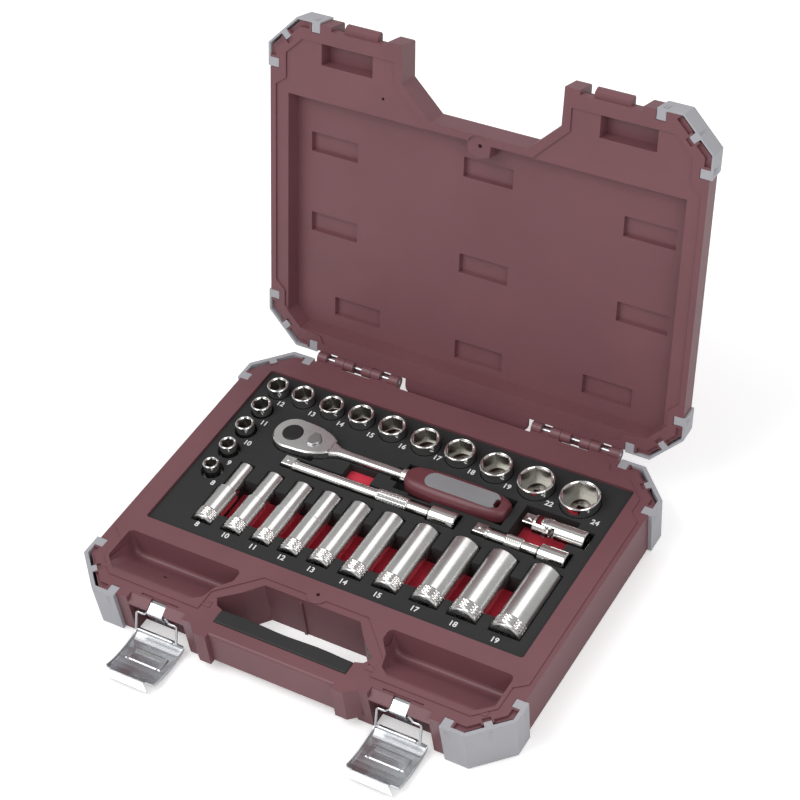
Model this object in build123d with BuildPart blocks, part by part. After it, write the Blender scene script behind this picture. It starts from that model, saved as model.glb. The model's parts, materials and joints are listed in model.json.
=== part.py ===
from build123d import *
import os
from math import cos, hypot, pi, radians, sin

os.makedirs("parts", exist_ok=True)

# Socket wrench set in its case.  Millimetres, +Z up, X along the hinge, -Y at the handle.
# The origin is on the floor under the middle of the base, and the lid stands open.

# ---- case ----
CASE_W = 360.0  # over the corner guards
CASE_D = 276.0
BASE_H = 38.0  # floor to parting plane
LID_H = 19.0
GUARD_T = 3.0  # corner guard thickness
DRAFT_BASE = 2.5  # degrees
DRAFT_LID = 5.4
CORNER_CUT = 25.0  # outer corner chamfer, over the guards
GUARD_ARM_X = 45.2  # guard length along the front and back
GUARD_ARM_Y = 43.5  # guard length along the sides
TAB_W = 7.3  # guard end tabs folded over the rim
TAB_T = 1.3
PLATEAU_H = 0.8  # raised deck of the base, fits the stepped rim of the lid
PLATEAU_FIT = 0.5

# ---- hinge ----
HINGE_BACK = 3.3  # hinge axis behind the guards
LID_OPEN = 104.2  # degrees between closed and open
KNUCKLE_R = 4.6
PIN_R = 1.6
PIN_FIT = 0.06
KNUCKLE_L = 24.2
KNUCKLE_GAP = 0.35
HINGE_MID = 95.4  # middle of each three-knuckle hinge

# ---- foam ----
FOAM_W = 316.0
FOAM_FRONT = 75.6  # behind the front of the case
FOAM_BACK = 248.9
FOAM_TOP = 36.7
FOAM_SPLIT = 19.6  # black sheet above, red layer below
FOAM_FLOOR = 3.3
WELL_FIT = 0.3
POCKET_FIT = 0.45

# ---- handle ----
OPENING = ((0, 22), (52, 22), (61, 25), (65, 31), (51, 43), (40, 56), (0, 56))
HANDLE_Z = 9.0  # underside of the bar
GRIP_HALF = 55.0
GRIP_TOP = 1.2  # pad above the deck

# ---- latches ----
LATCH_X = 101.0
WIRE_R = 0.95
BAIL_PIVOT = (4.2, 28.6)  # y behind the front of the case, z
LEVER_PIVOT = (-1.6, 12.3)
BAIL_HALF = 17.6
LEVER_HALF = 20.7
SHEET = 0.9
BAY_W = 48.0
BAY_BACK = 17.0  # deep part of the bay, behind the front of the case
BAY_WALL = 15.0  # wall behind the clip, left standing in the middle

# ---- sockets ----
DRIVE = 9.6  # female square
SHORT_L = 28.0
SHORT_PROUD = 8.5
DEEP_L = 63.0
DEEP_FRONT = 90.5
DEEP_AXIS = 3.5  # below the foam top
DRIVE_END_D = 17.0
SHORT = {8: (-141, 138), 9: (-141, 161.3), 10: (-141, 185), 11: (-141, 208.4), 12: (-140.5, 232),
         13: (-117, 231.6), 14: (-90.3, 230.7), 15: (-64, 231), 16: (-35.8, 230),
         17: (-5.8, 228.5), 18: (24.2, 228.5), 19: (56, 226.5), 22: (90.3, 224.7), 24: (126.8, 223.7)}
DEEP = {8: -119, 10: -93.2, 11: -67.7, 12: -43.3, 13: -17.6, 14: 9.6, 15: 38.6, 17: 70.8,
        18: 101.5, 19: 135.6}
STEPPED = (8, 10, 11)  # deep sockets with a slimmer nut end
STEP_L = 27.2

# ---- bars, joint, ratchet ----
BAR_Y = 169.0
BAR_Z = FOAM_TOP - 1.5
SQUARE = 9.45
LONG_BAR = (-96.0, 54.0)
SHORT_BAR = (69.0, 144.0)
JOINT_Y = 192.0
JOINT_Z = FOAM_TOP - 1.0
JOINT_X = 116.5  # centre of the cross
JOINT_TIP_X = 97.5  # end of the drive square
JOINT_END_X = 148.0  # face of the socket end
YOKE_R = 7.5
RATCHET_Y = 193.0
RATCHET_Z = FOAM_TOP + 0.5  # middle of the head
HEAD_T = 12.0
HEAD_X = -102.0
HEAD_R = 15.6


def fy(behind):
    """Y of a point this far behind the front of the case."""
    return behind - CASE_D / 2


def mirrored(points):
    """A closed outline from its right half, listed from the middle line to the middle line."""
    return [(x, y) for x, y in points] + [(-x, y) for x, y in reversed(points) if x]


def cut_box(half_x, y0, y1, cut):
    """A rectangle with equally chamfered corners, counter-clockwise."""
    return [(half_x, y0 + cut), (half_x, y1 - cut), (half_x - cut, y1), (cut - half_x, y1),
            (-half_x, y1 - cut), (-half_x, y0 + cut), (cut - half_x, y0), (half_x - cut, y0)]


def strip(points, thickness):
    """The outline of a bent strip of sheet from its middle line."""
    half = thickness / 2
    left = []
    right = []
    for i, (x, y) in enumerate(points):
        normals = []
        for a, b in ((i - 1, i), (i, i + 1)):
            if a >= 0 and b < len(points):
                dx = points[b][0] - points[a][0]
                dy = points[b][1] - points[a][1]
                length = hypot(dx, dy)
                normals.append((-dy / length, dx / length))
        nx = sum(n[0] for n in normals) / len(normals)
        ny = sum(n[1] for n in normals) / len(normals)
        scale = half / (nx * nx + ny * ny)
        left.append((x + nx * scale, y + ny * scale))
        right.append((x - nx * scale, y - ny * scale))
    return left + right[::-1]


HALF_W = CASE_W / 2 - GUARD_T
SHELL_FRONT = fy(GUARD_T)
SHELL_BACK = fy(CASE_D - GUARD_T)
SHELL_CUT = CORNER_CUT + 1.1
HINGE_Y = fy(CASE_D + HINGE_BACK)
HINGE_Z = BASE_H
LEAN = BASE_H * sin(radians(DRAFT_BASE))
GRIP_Y = (fy(11), fy(20.5), fy(23))
WELL_HALF = FOAM_W / 2 + WELL_FIT

LID = Plane(origin=(0, HINGE_Y, HINGE_Z), x_dir=(1, 0, 0),
            z_dir=(0, sin(radians(LID_OPEN)), cos(radians(LID_OPEN))))
LID_SIDE = Plane(origin=LID.origin, x_dir=LID.y_dir, z_dir=LID.x_dir)

# The deck of the base and, a little larger, the step inside the rim of the lid
DECK = mirrored([(0, 61.5), (44, 61.5), (71.7, 34), (71.8, 16.5), (150, 16.5), (164, 30),
                 (164, 50), (173, 57), (173, 222), (165, 230), (165, 243), (150, 258),
                 (132, 261), (129, 267), (122, 268.5), (0, 268.5)])
DECK_LOBE = (0, 64.3, 8.5)


def hinge_spans(outer):
    """X ranges of the knuckles: two outer ones of each hinge, or the middle one."""
    pitch = KNUCKLE_L + KNUCKLE_GAP
    spans = []
    for side in (-1, 1):
        for step in ((-1, 1) if outer else (0,)):
            middle = side * HINGE_MID + step * pitch
            spans.append((middle - KNUCKLE_L / 2, middle + KNUCKLE_L / 2))
    return spans


# ================= base shell =================
with BuildPart() as base_shell:
    with BuildSketch():
        Polygon(*cut_box(HALF_W - LEAN, SHELL_FRONT + LEAN, SHELL_BACK - LEAN, SHELL_CUT), align=None)
    extrude(amount=BASE_H, taper=-DRAFT_BASE)
    chamfer(base_shell.faces().sort_by(Axis.Z)[0].edges(), 1.2)
    with BuildSketch(Plane.XY.offset(BASE_H - 1)):
        Polygon(*[(x, fy(y)) for x, y in DECK], align=None)
        with Locations((DECK_LOBE[0], fy(DECK_LOBE[1]))):
            Circle(DECK_LOBE[2])
    extrude(amount=1 + PLATEAU_H)
    # handle bar with its thicker ends
    with BuildSketch(Plane.YZ.offset(-54)):
        RectangleRounded(23, BASE_H - HANDLE_Z, 2.5, align=(Align.MIN, Align.MIN))
    bar = extrude(amount=108, mode=Mode.PRIVATE)
    add(bar.moved(Location((0, fy(-0.5), HANDLE_Z))))
    for side in (-1, 1):
        with BuildSketch(Plane.XY.offset(HANDLE_Z)):
            Polygon(*[(side * x, fy(y)) for x, y in ((52, -4), (61.5, -4), (64, -2), (70, 3.5),
                                                    (70, 24), (52, 24))], align=None)
        extrude(amount=BASE_H - HANDLE_Z)
    # hand opening and the gap under the bar
    with BuildSketch():
        Polygon(*[(x, fy(y)) for x, y in mirrored(OPENING)], align=None)
    extrude(amount=BASE_H + 10, mode=Mode.SUBTRACT)
    with BuildSketch(Plane.YZ.offset(-64)):
        Polygon((fy(-20), -5), (fy(23), -5), (fy(23), HANDLE_Z), (fy(-20), HANDLE_Z), align=None)
    extrude(amount=128, mode=Mode.SUBTRACT)
    # seat of the soft pad
    with BuildSketch(Plane.YZ.offset(-GRIP_HALF)):
        Polygon((GRIP_Y[0], BASE_H - 1.5), (GRIP_Y[1], BASE_H - 1.5), (GRIP_Y[1], 20),
                (GRIP_Y[2] + 2, 20), (GRIP_Y[2] + 2, BASE_H + 9), (GRIP_Y[0], BASE_H + 9), align=None)
    extrude(amount=2 * GRIP_HALF, mode=Mode.SUBTRACT)
    # rib on the back wall of the opening
    with BuildSketch():
        with Locations((-10, fy(57))):
            Rectangle(2, 4.6)
    extrude(amount=BASE_H - 4)
    # foam well
    with BuildSketch(Plane.XY.offset(FOAM_FLOOR)):
        Polygon(*cut_box(WELL_HALF, fy(FOAM_FRONT) - WELL_FIT, fy(FOAM_BACK) + WELL_FIT, 1.5),
                align=None)
    extrude(amount=BASE_H, mode=Mode.SUBTRACT)
    # small-parts trays
    for side in (-1, 1):
        tray_top = BASE_H + PLATEAU_H
        with BuildSketch(Plane.XY.offset(tray_top)) as tray:
            Polygon(*[(side * x, fy(y)) for x, y in ((62.5, 59.5), (62.5, 49), (71.5, 38), (74.5, 27),
                                                    (83, 21.3), (150, 21.3), (161, 31),
                                                    (161, 59.5))], align=None)
            fillet(tray.vertices(), 4)
        extrude(amount=-(tray_top - 15), taper=7, mode=Mode.SUBTRACT)
    # latch bays: open below a sloping nose that the clip lies over
    for side in (-1, 1):
        middle = side * LATCH_X
        with BuildSketch(Plane.YZ.offset(middle - BAY_W / 2)):
            Polygon(*[(fy(y), z) for y, z in ((-10, -2), (BAY_BACK, -2), (BAY_BACK, 14.5), (9, 14.5),
                                             (9, 30.8), (2, 30.8), (2, 31.9), (9.2, 37.4),
                                             (9.2, 45), (-10, 45))], align=None)
        extrude(amount=BAY_W, mode=Mode.SUBTRACT)
        # deep recess on both sides of the wall that carries the clip
        with BuildSketch(Plane.XY.offset(10)):
            for edge in (-1, 1):
                with Locations((middle + edge * (BAY_W + BAY_WALL) / 4, fy(BAY_BACK))):
                    Rectangle((BAY_W - BAY_WALL) / 2, 9, align=(Align.CENTER, Align.MAX))
        extrude(amount=16, mode=Mode.SUBTRACT)
        with BuildSketch(Plane.YZ.offset(middle - 6.7)):
            Polygon(*[(fy(y), z) for y, z in ((0, 29.2), (2.36, 30.7), (8.64, 34.7), (9.6, 34.7),
                                             (9.6, 30.9), (11.1, 30.9), (11.1, 45), (0, 45))], align=None)
        extrude(amount=13.4, mode=Mode.SUBTRACT)
        with BuildSketch(Plane.XY.offset(BASE_H - 1.2)):
            with Locations((middle, fy(11.2))):
                Rectangle(32, 1.6)
        extrude(amount=5, mode=Mode.SUBTRACT)
    # seats of the guard tabs
    for sx in (-1, 1):
        for sy in (-1, 1):
            edge_x = CASE_W / 2
            edge_y = CASE_D / 2
            with BuildSketch(Plane.XY.offset(BASE_H - 0.2 - TAB_T)):
                with Locations((sx * (edge_x - GUARD_ARM_X + TAB_W / 2), sy * (edge_y - 4.5))):
                    Rectangle(TAB_W + 0.3, 9.2)
                with Locations((sx * (edge_x - 4.7), sy * (edge_y - GUARD_ARM_Y + TAB_W / 2))):
                    Rectangle(9.6, TAB_W + 0.3)
                with Locations(Location((sx * (edge_x - 16.8), sy * (edge_y - 16.8)), -45 * sx * sy)):
                    Rectangle(6.3, 9.3)
            extrude(amount=10, mode=Mode.SUBTRACT)
    # screw hole in the lobe
    with Locations((DECK_LOBE[0], fy(DECK_LOBE[1]), BASE_H + PLATEAU_H)):
        Hole(1.5, depth=14)
    # outer hinge knuckles with their webs
    for x0, x1 in hinge_spans(True):
        with BuildSketch(Plane.YZ.offset(x0)):
            with Locations((HINGE_Y, HINGE_Z)):
                Circle(KNUCKLE_R)
            Polygon((SHELL_BACK - 1.5, HINGE_Z - 0.3), (HINGE_Y, HINGE_Z - 0.3),
                    (HINGE_Y + KNUCKLE_R * 0.8, HINGE_Z - KNUCKLE_R * 0.6),
                    (SHELL_BACK - 1.5, HINGE_Z - 12), align=None)
        extrude(amount=x1 - x0)
        with BuildSketch(Plane.YZ.offset(x0)):
            with Locations((HINGE_Y, HINGE_Z)):
                Circle(PIN_R)
        extrude(amount=x1 - x0, mode=Mode.SUBTRACT)
        with BuildSketch(Plane.XY.offset(HINGE_Z)):
            with Locations(((x0 + x1) / 2, HINGE_Y)):
                Rectangle(8, 12)
        extrude(amount=10, mode=Mode.SUBTRACT)

base_shell.part.label = "base_shell"
export_step(base_shell.part, "parts/base_shell.step")

# ================= soft pad on the handle =================
with BuildPart() as handle_grip:
    with BuildSketch(Plane.XY.offset(20)) as pad:
        with BuildLine():
            wave = [(-GRIP_HALF, GRIP_Y[2] - 0.6)]
            for i in range(1, 4):
                wave.append((-GRIP_HALF + i * GRIP_HALF / 2, GRIP_Y[2] - 0.9 + 0.9 * (i % 2)))
            for i in range(4, 8):
                wave.append((-GRIP_HALF + i * GRIP_HALF / 2, GRIP_Y[2] - 0.9 + 0.9 * (i % 2)))
            wave.append((GRIP_HALF, GRIP_Y[2] - 0.6))
            Spline(*wave)
            Polyline((GRIP_HALF, GRIP_Y[2] - 0.6), (GRIP_HALF, GRIP_Y[0]), (-GRIP_HALF, GRIP_Y[0]),
                     (-GRIP_HALF, GRIP_Y[2] - 0.6))
        make_face()
    extrude(amount=BASE_H + GRIP_TOP - 20)
    with BuildSketch(Plane.YZ.offset(-GRIP_HALF - 1)):
        Polygon((GRIP_Y[0] - 1, 10), (GRIP_Y[1], 10), (GRIP_Y[1], BASE_H - 1.5),
                (GRIP_Y[0] - 1, BASE_H - 1.5), align=None)
    extrude(amount=2 * GRIP_HALF + 2, mode=Mode.SUBTRACT)
    chamfer(handle_grip.faces().sort_by(Axis.Z)[-1].edges(), 0.7)
handle_grip.part.label = "handle_grip"
export_step(handle_grip.part, "parts/handle_grip.step")

# ================= corner guards =================
# Each is a skin over its corner, with three tabs folded over the rim.
for row, sy in (("front", -1), ("back", 1)):
    for col, sx in (("left", -1), ("right", 1)):
        arm_x = sx * (CASE_W / 2 - GUARD_ARM_X)
        arm_y = sy * (CASE_D / 2 - GUARD_ARM_Y)
        far_x = sx * (CASE_W / 2 + 5)
        far_y = sy * (CASE_D / 2 + 5)
        with BuildPart() as guard:
            with BuildSketch():
                Polygon(*cut_box(CASE_W / 2 - LEAN, -CASE_D / 2 + LEAN, CASE_D / 2 - LEAN, CORNER_CUT),
                        align=None)
            extrude(amount=BASE_H, taper=-DRAFT_BASE)
            with BuildSketch():
                Polygon(*cut_box(HALF_W - LEAN, SHELL_FRONT + LEAN, SHELL_BACK - LEAN,
                                 CORNER_CUT - 1.76), align=None)
            extrude(amount=BASE_H, taper=-DRAFT_BASE, mode=Mode.SUBTRACT)
            # tabs
            with BuildSketch(Plane.XY.offset(BASE_H - 0.2 - TAB_T)):
                with Locations((sx * (CASE_W / 2 - GUARD_ARM_X + TAB_W / 2), sy * (CASE_D / 2 - 5.4))):
                    Rectangle(TAB_W, 7)
                with Locations((sx * (CASE_W / 2 - 5.6), sy * (CASE_D / 2 - GUARD_ARM_Y + TAB_W / 2))):
                    Rectangle(7.4, TAB_W)
                with Locations(Location((sx * (CASE_W / 2 - 16), sy * (CASE_D / 2 - 16)),
                                        -45 * sx * sy)):
                    Rectangle(6, 5.5)
            extrude(amount=TAB_T)
            with BuildSketch(Plane.XY.offset(0.4)):
                Polygon((arm_x, arm_y), (far_x, arm_y), (far_x, far_y), (arm_x, far_y), align=None)
            extrude(amount=BASE_H - 0.6, mode=Mode.INTERSECT)
            # two upright grooves near each end
            with BuildSketch():
                for offset_end in (4.2, 6.6):
                    with Locations((arm_x + sx * offset_end, sy * (CASE_D / 2 + 0.2))):
                        Rectangle(0.8, 1.6)
                    with Locations((sx * (CASE_W / 2 + 0.2), arm_y + sy * offset_end)):
                        Rectangle(1.6, 0.8)
            extrude(amount=BASE_H - 4, mode=Mode.SUBTRACT)
        guard.part.label = f"base_guard_{row}_{col}"
        export_step(guard.part, f"parts/base_guard_{row}_{col}.step")

# ================= lid shell =================
LID_HALF_W = CASE_W / 2 - 1.9
LID_GUARD_CUT = CORNER_CUT


def lid_y(behind):
    """Y on the lid plane of a point this far behind the front of the closed case."""
    return fy(behind) - HINGE_Y


with BuildPart() as lid_shell:
    with BuildSketch(LID):
        Polygon(*cut_box(LID_HALF_W, lid_y(1.6), lid_y(CASE_D - 1.9), SHELL_CUT), align=None)
    extrude(amount=LID_H, taper=DRAFT_LID)
    chamfer(lid_shell.faces().sort_by(Axis(LID.origin, LID.z_dir))[-1].edges(), 1.2)
    # hand notch
    with BuildSketch(LID):
        Polygon(*[(x, lid_y(y)) for x, y in mirrored([(0, 55), (40, 55), (64.6, 31.6), (65.5, -9),
                                                     (0, -9)])], align=None)
    extrude(amount=LID_H + 5, mode=Mode.SUBTRACT)
    # stepped rim that drops over the deck of the base
    with BuildSketch(LID):
        Polygon(*[(x, lid_y(y)) for x, y in DECK], align=None)
        with Locations((DECK_LOBE[0], lid_y(DECK_LOBE[1]))):
            Circle(DECK_LOBE[2])
        offset(amount=PLATEAU_FIT, kind=Kind.INTERSECTION)
    extrude(amount=PLATEAU_H + 0.4, mode=Mode.SUBTRACT)
    # deep panel
    with BuildSketch(LID):
        Polygon(*[(x, lid_y(y)) for x, y in mirrored([(0, 73.5), (8.5, 71), (9.5, 62), (163, 62),
                                                     (163, 246.5), (150.5, 259), (0, 259)])],
                align=None)
    extrude(amount=12.5, taper=7, mode=Mode.SUBTRACT)
    # shallow pockets in the panel
    with BuildSketch(LID.offset(12)):
        for x, y in ((-128.5, 102), (2.8, 88.8), (133.3, 100.8), (-128.1, 169), (2.6, 167.8),
                     (133.4, 169.3), (-105.8, 237.5), (2.1, 242), (110.8, 237.5)):
            with Locations((x, lid_y(y))):
                Rectangle(41, 16)
    extrude(amount=4, taper=8, mode=Mode.SUBTRACT)
    # deep pockets beside the hand notch
    with BuildSketch(LID):
        for x in (-112.0, 115.5):
            with Locations((x, lid_y(25))):
                Rectangle(44, 17)
    extrude(amount=11, taper=6, mode=Mode.SUBTRACT)
    # latch bays with the ledge that the lever hooks over
    for side in (-1, 1):
        middle = side * LATCH_X
        with BuildSketch(LID_SIDE.offset(middle - 24)):
            Polygon(*[(lid_y(y), h) for y, h in ((-6, -2), (5.2, -2), (5.2, 6), (10.6, 8.5),
                                                 (10.6, LID_H + 3), (-6, LID_H + 3))], align=None)
        extrude(amount=48, mode=Mode.SUBTRACT)
        with BuildSketch(LID_SIDE.offset(middle - 14)):
            Polygon(*[(lid_y(y), h) for y, h in ((6, 2.2), (1.4, 2.6), (-0.7, 5.6), (-0.7, 8.3),
                                                 (1.2, 9.6), (11.5, 9.6), (11.5, 6), (6, 5))], align=None)
        extrude(amount=28)
    # seats of the guard tabs
    for sx in (-1, 1):
        for row in (0, 1):
            edge_y = lid_y(0) if row == 0 else lid_y(CASE_D)
            sy = -1 if row == 0 else 1
            with BuildSketch(LID):
                with Locations((sx * (CASE_W / 2 - GUARD_ARM_X + TAB_W / 2), edge_y - sy * 4.5)):
                    Rectangle(TAB_W + 0.3, 9.2)
                with Locations((sx * (CASE_W / 2 - 4.7), edge_y - sy * (GUARD_ARM_Y - TAB_W / 2))):
                    Rectangle(9.6, TAB_W + 0.3)
                with Locations(Location((sx * (CASE_W / 2 - 16.8), edge_y - sy * 16.8), -45 * sx * sy)):
                    Rectangle(6.3, 9.3)
            extrude(amount=0.2 + TAB_T, mode=Mode.SUBTRACT)
    # middle hinge knuckles
    for x0, x1 in hinge_spans(False):
        with BuildSketch(LID_SIDE.offset(x0)):
            Circle(KNUCKLE_R)
            Polygon((lid_y(CASE_D - 3.2), 0.3), (0, 0.3), (KNUCKLE_R * 0.8, KNUCKLE_R * 0.6),
                    (lid_y(CASE_D - 3.2), 12), align=None)
        extrude(amount=x1 - x0)
        with BuildSketch(LID_SIDE.offset(x0)):
            Circle(PIN_R + PIN_FIT)
        extrude(amount=x1 - x0, mode=Mode.SUBTRACT)
        with BuildSketch(LID):
            with Locations(((x0 + x1) / 2, 0)):
                Rectangle(8, 12)
        extrude(amount=-10, mode=Mode.SUBTRACT)
lid_shell.part.label = "lid_shell"
export_step(lid_shell.part, "parts/lid_shell.step")

# ================= lid corner guards =================
for row, sy in (("front", -1), ("back", 1)):
    for col, sx in (("left", -1), ("right", 1)):
        edge_y = lid_y(0) if row == "front" else lid_y(CASE_D)
        arm_x = sx * (CASE_W / 2 - GUARD_ARM_X)
        arm_y = edge_y - sy * GUARD_ARM_Y
        far_x = sx * (CASE_W / 2 + 5)
        far_y = edge_y + sy * 5
        with BuildPart() as guard:
            with BuildSketch(LID):
                Polygon(*cut_box(CASE_W / 2, lid_y(0), lid_y(CASE_D), CORNER_CUT), align=None)
            extrude(amount=LID_H, taper=DRAFT_LID)
            with BuildSketch(LID):
                Polygon(*cut_box(LID_HALF_W, lid_y(1.6), lid_y(CASE_D - 1.9), CORNER_CUT - 1.1),
                        align=None)
            extrude(amount=LID_H, taper=DRAFT_LID, mode=Mode.SUBTRACT)
            with BuildSketch(LID.offset(0.2)):
                with Locations((sx * (CASE_W / 2 - GUARD_ARM_X + TAB_W / 2), edge_y - sy * 5)):
                    Rectangle(TAB_W, 7.8)
                with Locations((sx * (CASE_W / 2 - 5), edge_y - sy * (GUARD_ARM_Y - TAB_W / 2))):
                    Rectangle(8.6, TAB_W)
                with Locations(Location((sx * (CASE_W / 2 - 15.6), edge_y - sy * 15.6), -45 * sx * sy)):
                    Rectangle(6, 6.6)
            extrude(amount=TAB_T)
            with BuildSketch(LID.offset(0.2)):
                Polygon((arm_x, arm_y), (far_x, arm_y), (far_x, far_y), (arm_x, far_y), align=None)
            extrude(amount=LID_H - 0.2, mode=Mode.INTERSECT)
        guard.part.label = f"lid_guard_{row}_{col}"
        export_step(guard.part, f"parts/lid_guard_{row}_{col}.step")

# ================= hinge pins =================
for side, middle in (("left", -HINGE_MID), ("right", HINGE_MID)):
    span = 3 * KNUCKLE_L + 2 * KNUCKLE_GAP
    with BuildPart() as pin:
        with BuildSketch(Plane.YZ.offset(middle - span / 2)):
            with Locations((HINGE_Y, HINGE_Z)):
                Circle(PIN_R)
        extrude(amount=span)
    pin.part.label = f"hinge_pin_{side}"
    export_step(pin.part, f"parts/hinge_pin_{side}.step")

# ================= foam =================
SHORT_BOTTOM = FOAM_TOP + SHORT_PROUD - SHORT_L
DEEP_Z = FOAM_TOP - DEEP_AXIS
TALL = FOAM_TOP + 20


def nut_radius(size):
    """Outer radius of the nut end of a socket."""
    return (1.13 * size + 3.3) / 2


def drive_radius(size):
    """Outer radius of the drive end."""
    return max(nut_radius(size), DRIVE_END_D / 2)


# (x0, x1, half width) of each bar's trough
BAR_TROUGHS = []
for x0, x1 in (LONG_BAR, SHORT_BAR):
    BAR_TROUGHS.append((x0 - 1, x0 + 12, 5.6))
    BAR_TROUGHS.append((x0 + 11, x1 - 22, 6.2))
    BAR_TROUGHS.append((x1 - 23.5, x1 + 1.5, 7.7))

RATCHET_OUTLINE = [(-100, 15.4), (-91, 15.1), (-83, 14.2), (-76, 12.2), (-70, 9.5), (-66.5, 7),
                   (-60, 4.2), (-51, 3.7), (-10, 3.7)]

with BuildPart() as foam_top:
    with BuildSketch(Plane.XY.offset(FOAM_SPLIT)):
        Polygon(*cut_box(FOAM_W / 2, fy(FOAM_FRONT), fy(FOAM_BACK), 1.5), align=None)
    extrude(amount=FOAM_TOP - FOAM_SPLIT)
    # short sockets
    with BuildSketch(Plane.XY.offset(FOAM_SPLIT - 1)):
        for size, (x, y) in SHORT.items():
            with Locations((x, fy(y))):
                Circle(drive_radius(size) + POCKET_FIT)
    extrude(amount=20, mode=Mode.SUBTRACT)
    # finger trough across the deep sockets, and the other finger gaps
    with BuildSketch(Plane.XY.offset(FOAM_SPLIT - 1)):
        with Locations((14.5, fy(120.3))):
            Rectangle(261, 38.4)
        with Locations((-36.2, fy(181.2))):
            Rectangle(24.4, 13.6)
        with Locations((17, fy(183.5))):
            Rectangle(20, 13)
        with Locations((JOINT_X - 2.2, fy(190.5))):
            Rectangle(43.6, 31)
    extrude(amount=20, mode=Mode.SUBTRACT)
    # cradles of the deep sockets
    for size, x in DEEP.items():
        nut = nut_radius(size)
        drive = drive_radius(size)
        back = DEEP_FRONT + DEEP_L
        spans = [(DEEP_FRONT - 1.6, back + 1.6, drive)]
        if size in STEPPED:
            spans = [(DEEP_FRONT - 1.6, back - STEP_L + 0.6, drive), (back - STEP_L, back + 1.6, nut)]
        for y0, y1, radius in spans:
            with BuildSketch(Plane(origin=(x, fy(y0), DEEP_Z), x_dir=(1, 0, 0), z_dir=(0, 1, 0))):
                Circle(radius + POCKET_FIT)
            extrude(amount=y1 - y0, mode=Mode.SUBTRACT)
            with BuildSketch(Plane.XY.offset(DEEP_Z)):
                with Locations((x, fy((y0 + y1) / 2))):
                    Rectangle(2 * radius + 2 * POCKET_FIT, y1 - y0)
            extrude(amount=20, mode=Mode.SUBTRACT)
    # cradles of the bars and of the universal joint
    for x0, x1, half in BAR_TROUGHS:
        with BuildSketch(Plane.XY.offset(BAR_Z - half)):
            with Locations(((x0 + x1) / 2, fy(BAR_Y))):
                Rectangle(x1 - x0, 2 * half)
        extrude(amount=TALL - BAR_Z, mode=Mode.SUBTRACT)
    with BuildSketch(Plane.XY.offset(JOINT_Z - YOKE_R - 0.9)):
        with Locations((JOINT_END_X + 2.5, fy(JOINT_Y))):
            Rectangle(18, 2 * YOKE_R + 1.8, align=(Align.MAX, Align.CENTER))
    extrude(amount=20, mode=Mode.SUBTRACT)
    # ratchet: the head's pocket goes through to the red layer, the neck and grip lie in troughs
    with BuildSketch(Plane.XY.offset(FOAM_SPLIT - 1)):
        with Locations((HEAD_X, fy(RATCHET_Y))):
            Circle(HEAD_R + 0.6)
            Rectangle(18.5, 16.5, align=(Align.MAX, Align.MAX))
            Rectangle(18.5, 17.5, align=(Align.MAX, Align.MIN))
            Rectangle(22, 17.5, align=(Align.MIN, Align.MIN))
        Polygon(*([(x, fy(RATCHET_Y) + half + 0.6) for x, half in RATCHET_OUTLINE[:4]]
                  + [(x, fy(RATCHET_Y) - half - 0.6) for x, half in reversed(RATCHET_OUTLINE[:4])]),
                align=None)
    extrude(amount=20, mode=Mode.SUBTRACT)
    with BuildSketch(Plane.XY.offset(RATCHET_Z - HEAD_T / 2 - 0.6)):
        Polygon(*([(x, fy(RATCHET_Y) + half + 0.6) for x, half in RATCHET_OUTLINE]
                  + [(x, fy(RATCHET_Y) - half - 0.6) for x, half in reversed(RATCHET_OUTLINE)]),
                align=None)
    extrude(amount=20, mode=Mode.SUBTRACT)
    with BuildSketch(Plane.XY.offset(26.8)):
        with Locations((39, fy(RATCHET_Y))):
            Rectangle(91.6, 27)
        with Locations((-6.5, fy(RATCHET_Y))):
            Rectangle(13, 14)
    extrude(amount=20, mode=Mode.SUBTRACT)
foam_top.part.label = "foam_top"
export_step(foam_top.part, "parts/foam_top.step")

with BuildPart() as foam_base:
    with BuildSketch(Plane.XY.offset(FOAM_FLOOR)):
        Polygon(*cut_box(FOAM_W / 2, fy(FOAM_FRONT), fy(FOAM_BACK), 1.5), align=None)
    extrude(amount=FOAM_SPLIT - FOAM_FLOOR)
    with BuildSketch(Plane.XY.offset(SHORT_BOTTOM - 0.3)):
        for size, (x, y) in SHORT.items():
            with Locations((x, fy(y))):
                Circle(drive_radius(size) + POCKET_FIT)
    extrude(amount=20, mode=Mode.SUBTRACT)
    with BuildSketch(Plane.XY.offset(SHORT_BOTTOM - 4)):
        for size, (x, y) in SHORT.items():
            with Locations((x, fy(y))):
                Circle(6.8)
    extrude(amount=20, mode=Mode.SUBTRACT)
    with BuildSketch(Plane.XY.offset(17)):
        with Locations((HEAD_X, fy(RATCHET_Y))):
            Circle(8)
    extrude(amount=20, mode=Mode.SUBTRACT)
foam_base.part.label = "foam_base"
export_step(foam_base.part, "parts/foam_base.step")

# ================= sockets =================


def socket_profile(size, length, nut_length):
    """Half section of a socket's outside: (radius, height) from the drive end up."""
    nut = nut_radius(size)
    drive = drive_radius(size)
    outline = [(0, 0), (drive - 0.8, 0), (drive, 0.8), (drive, 3.0), (drive - 0.35, 3.3),
               (drive - 0.35, 3.9), (drive, 4.2), (drive, 8.4), (drive - 0.35, 8.7),
               (drive - 0.35, 9.3), (drive, 9.6)]
    if drive > nut:
        outline += [(drive, length - nut_length - 0.8), (drive - 0.8, length - nut_length),
                    (nut, length - nut_length)]
    return outline + [(nut, length - 0.7), (nut - 0.7, length), (0, length)]


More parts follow.
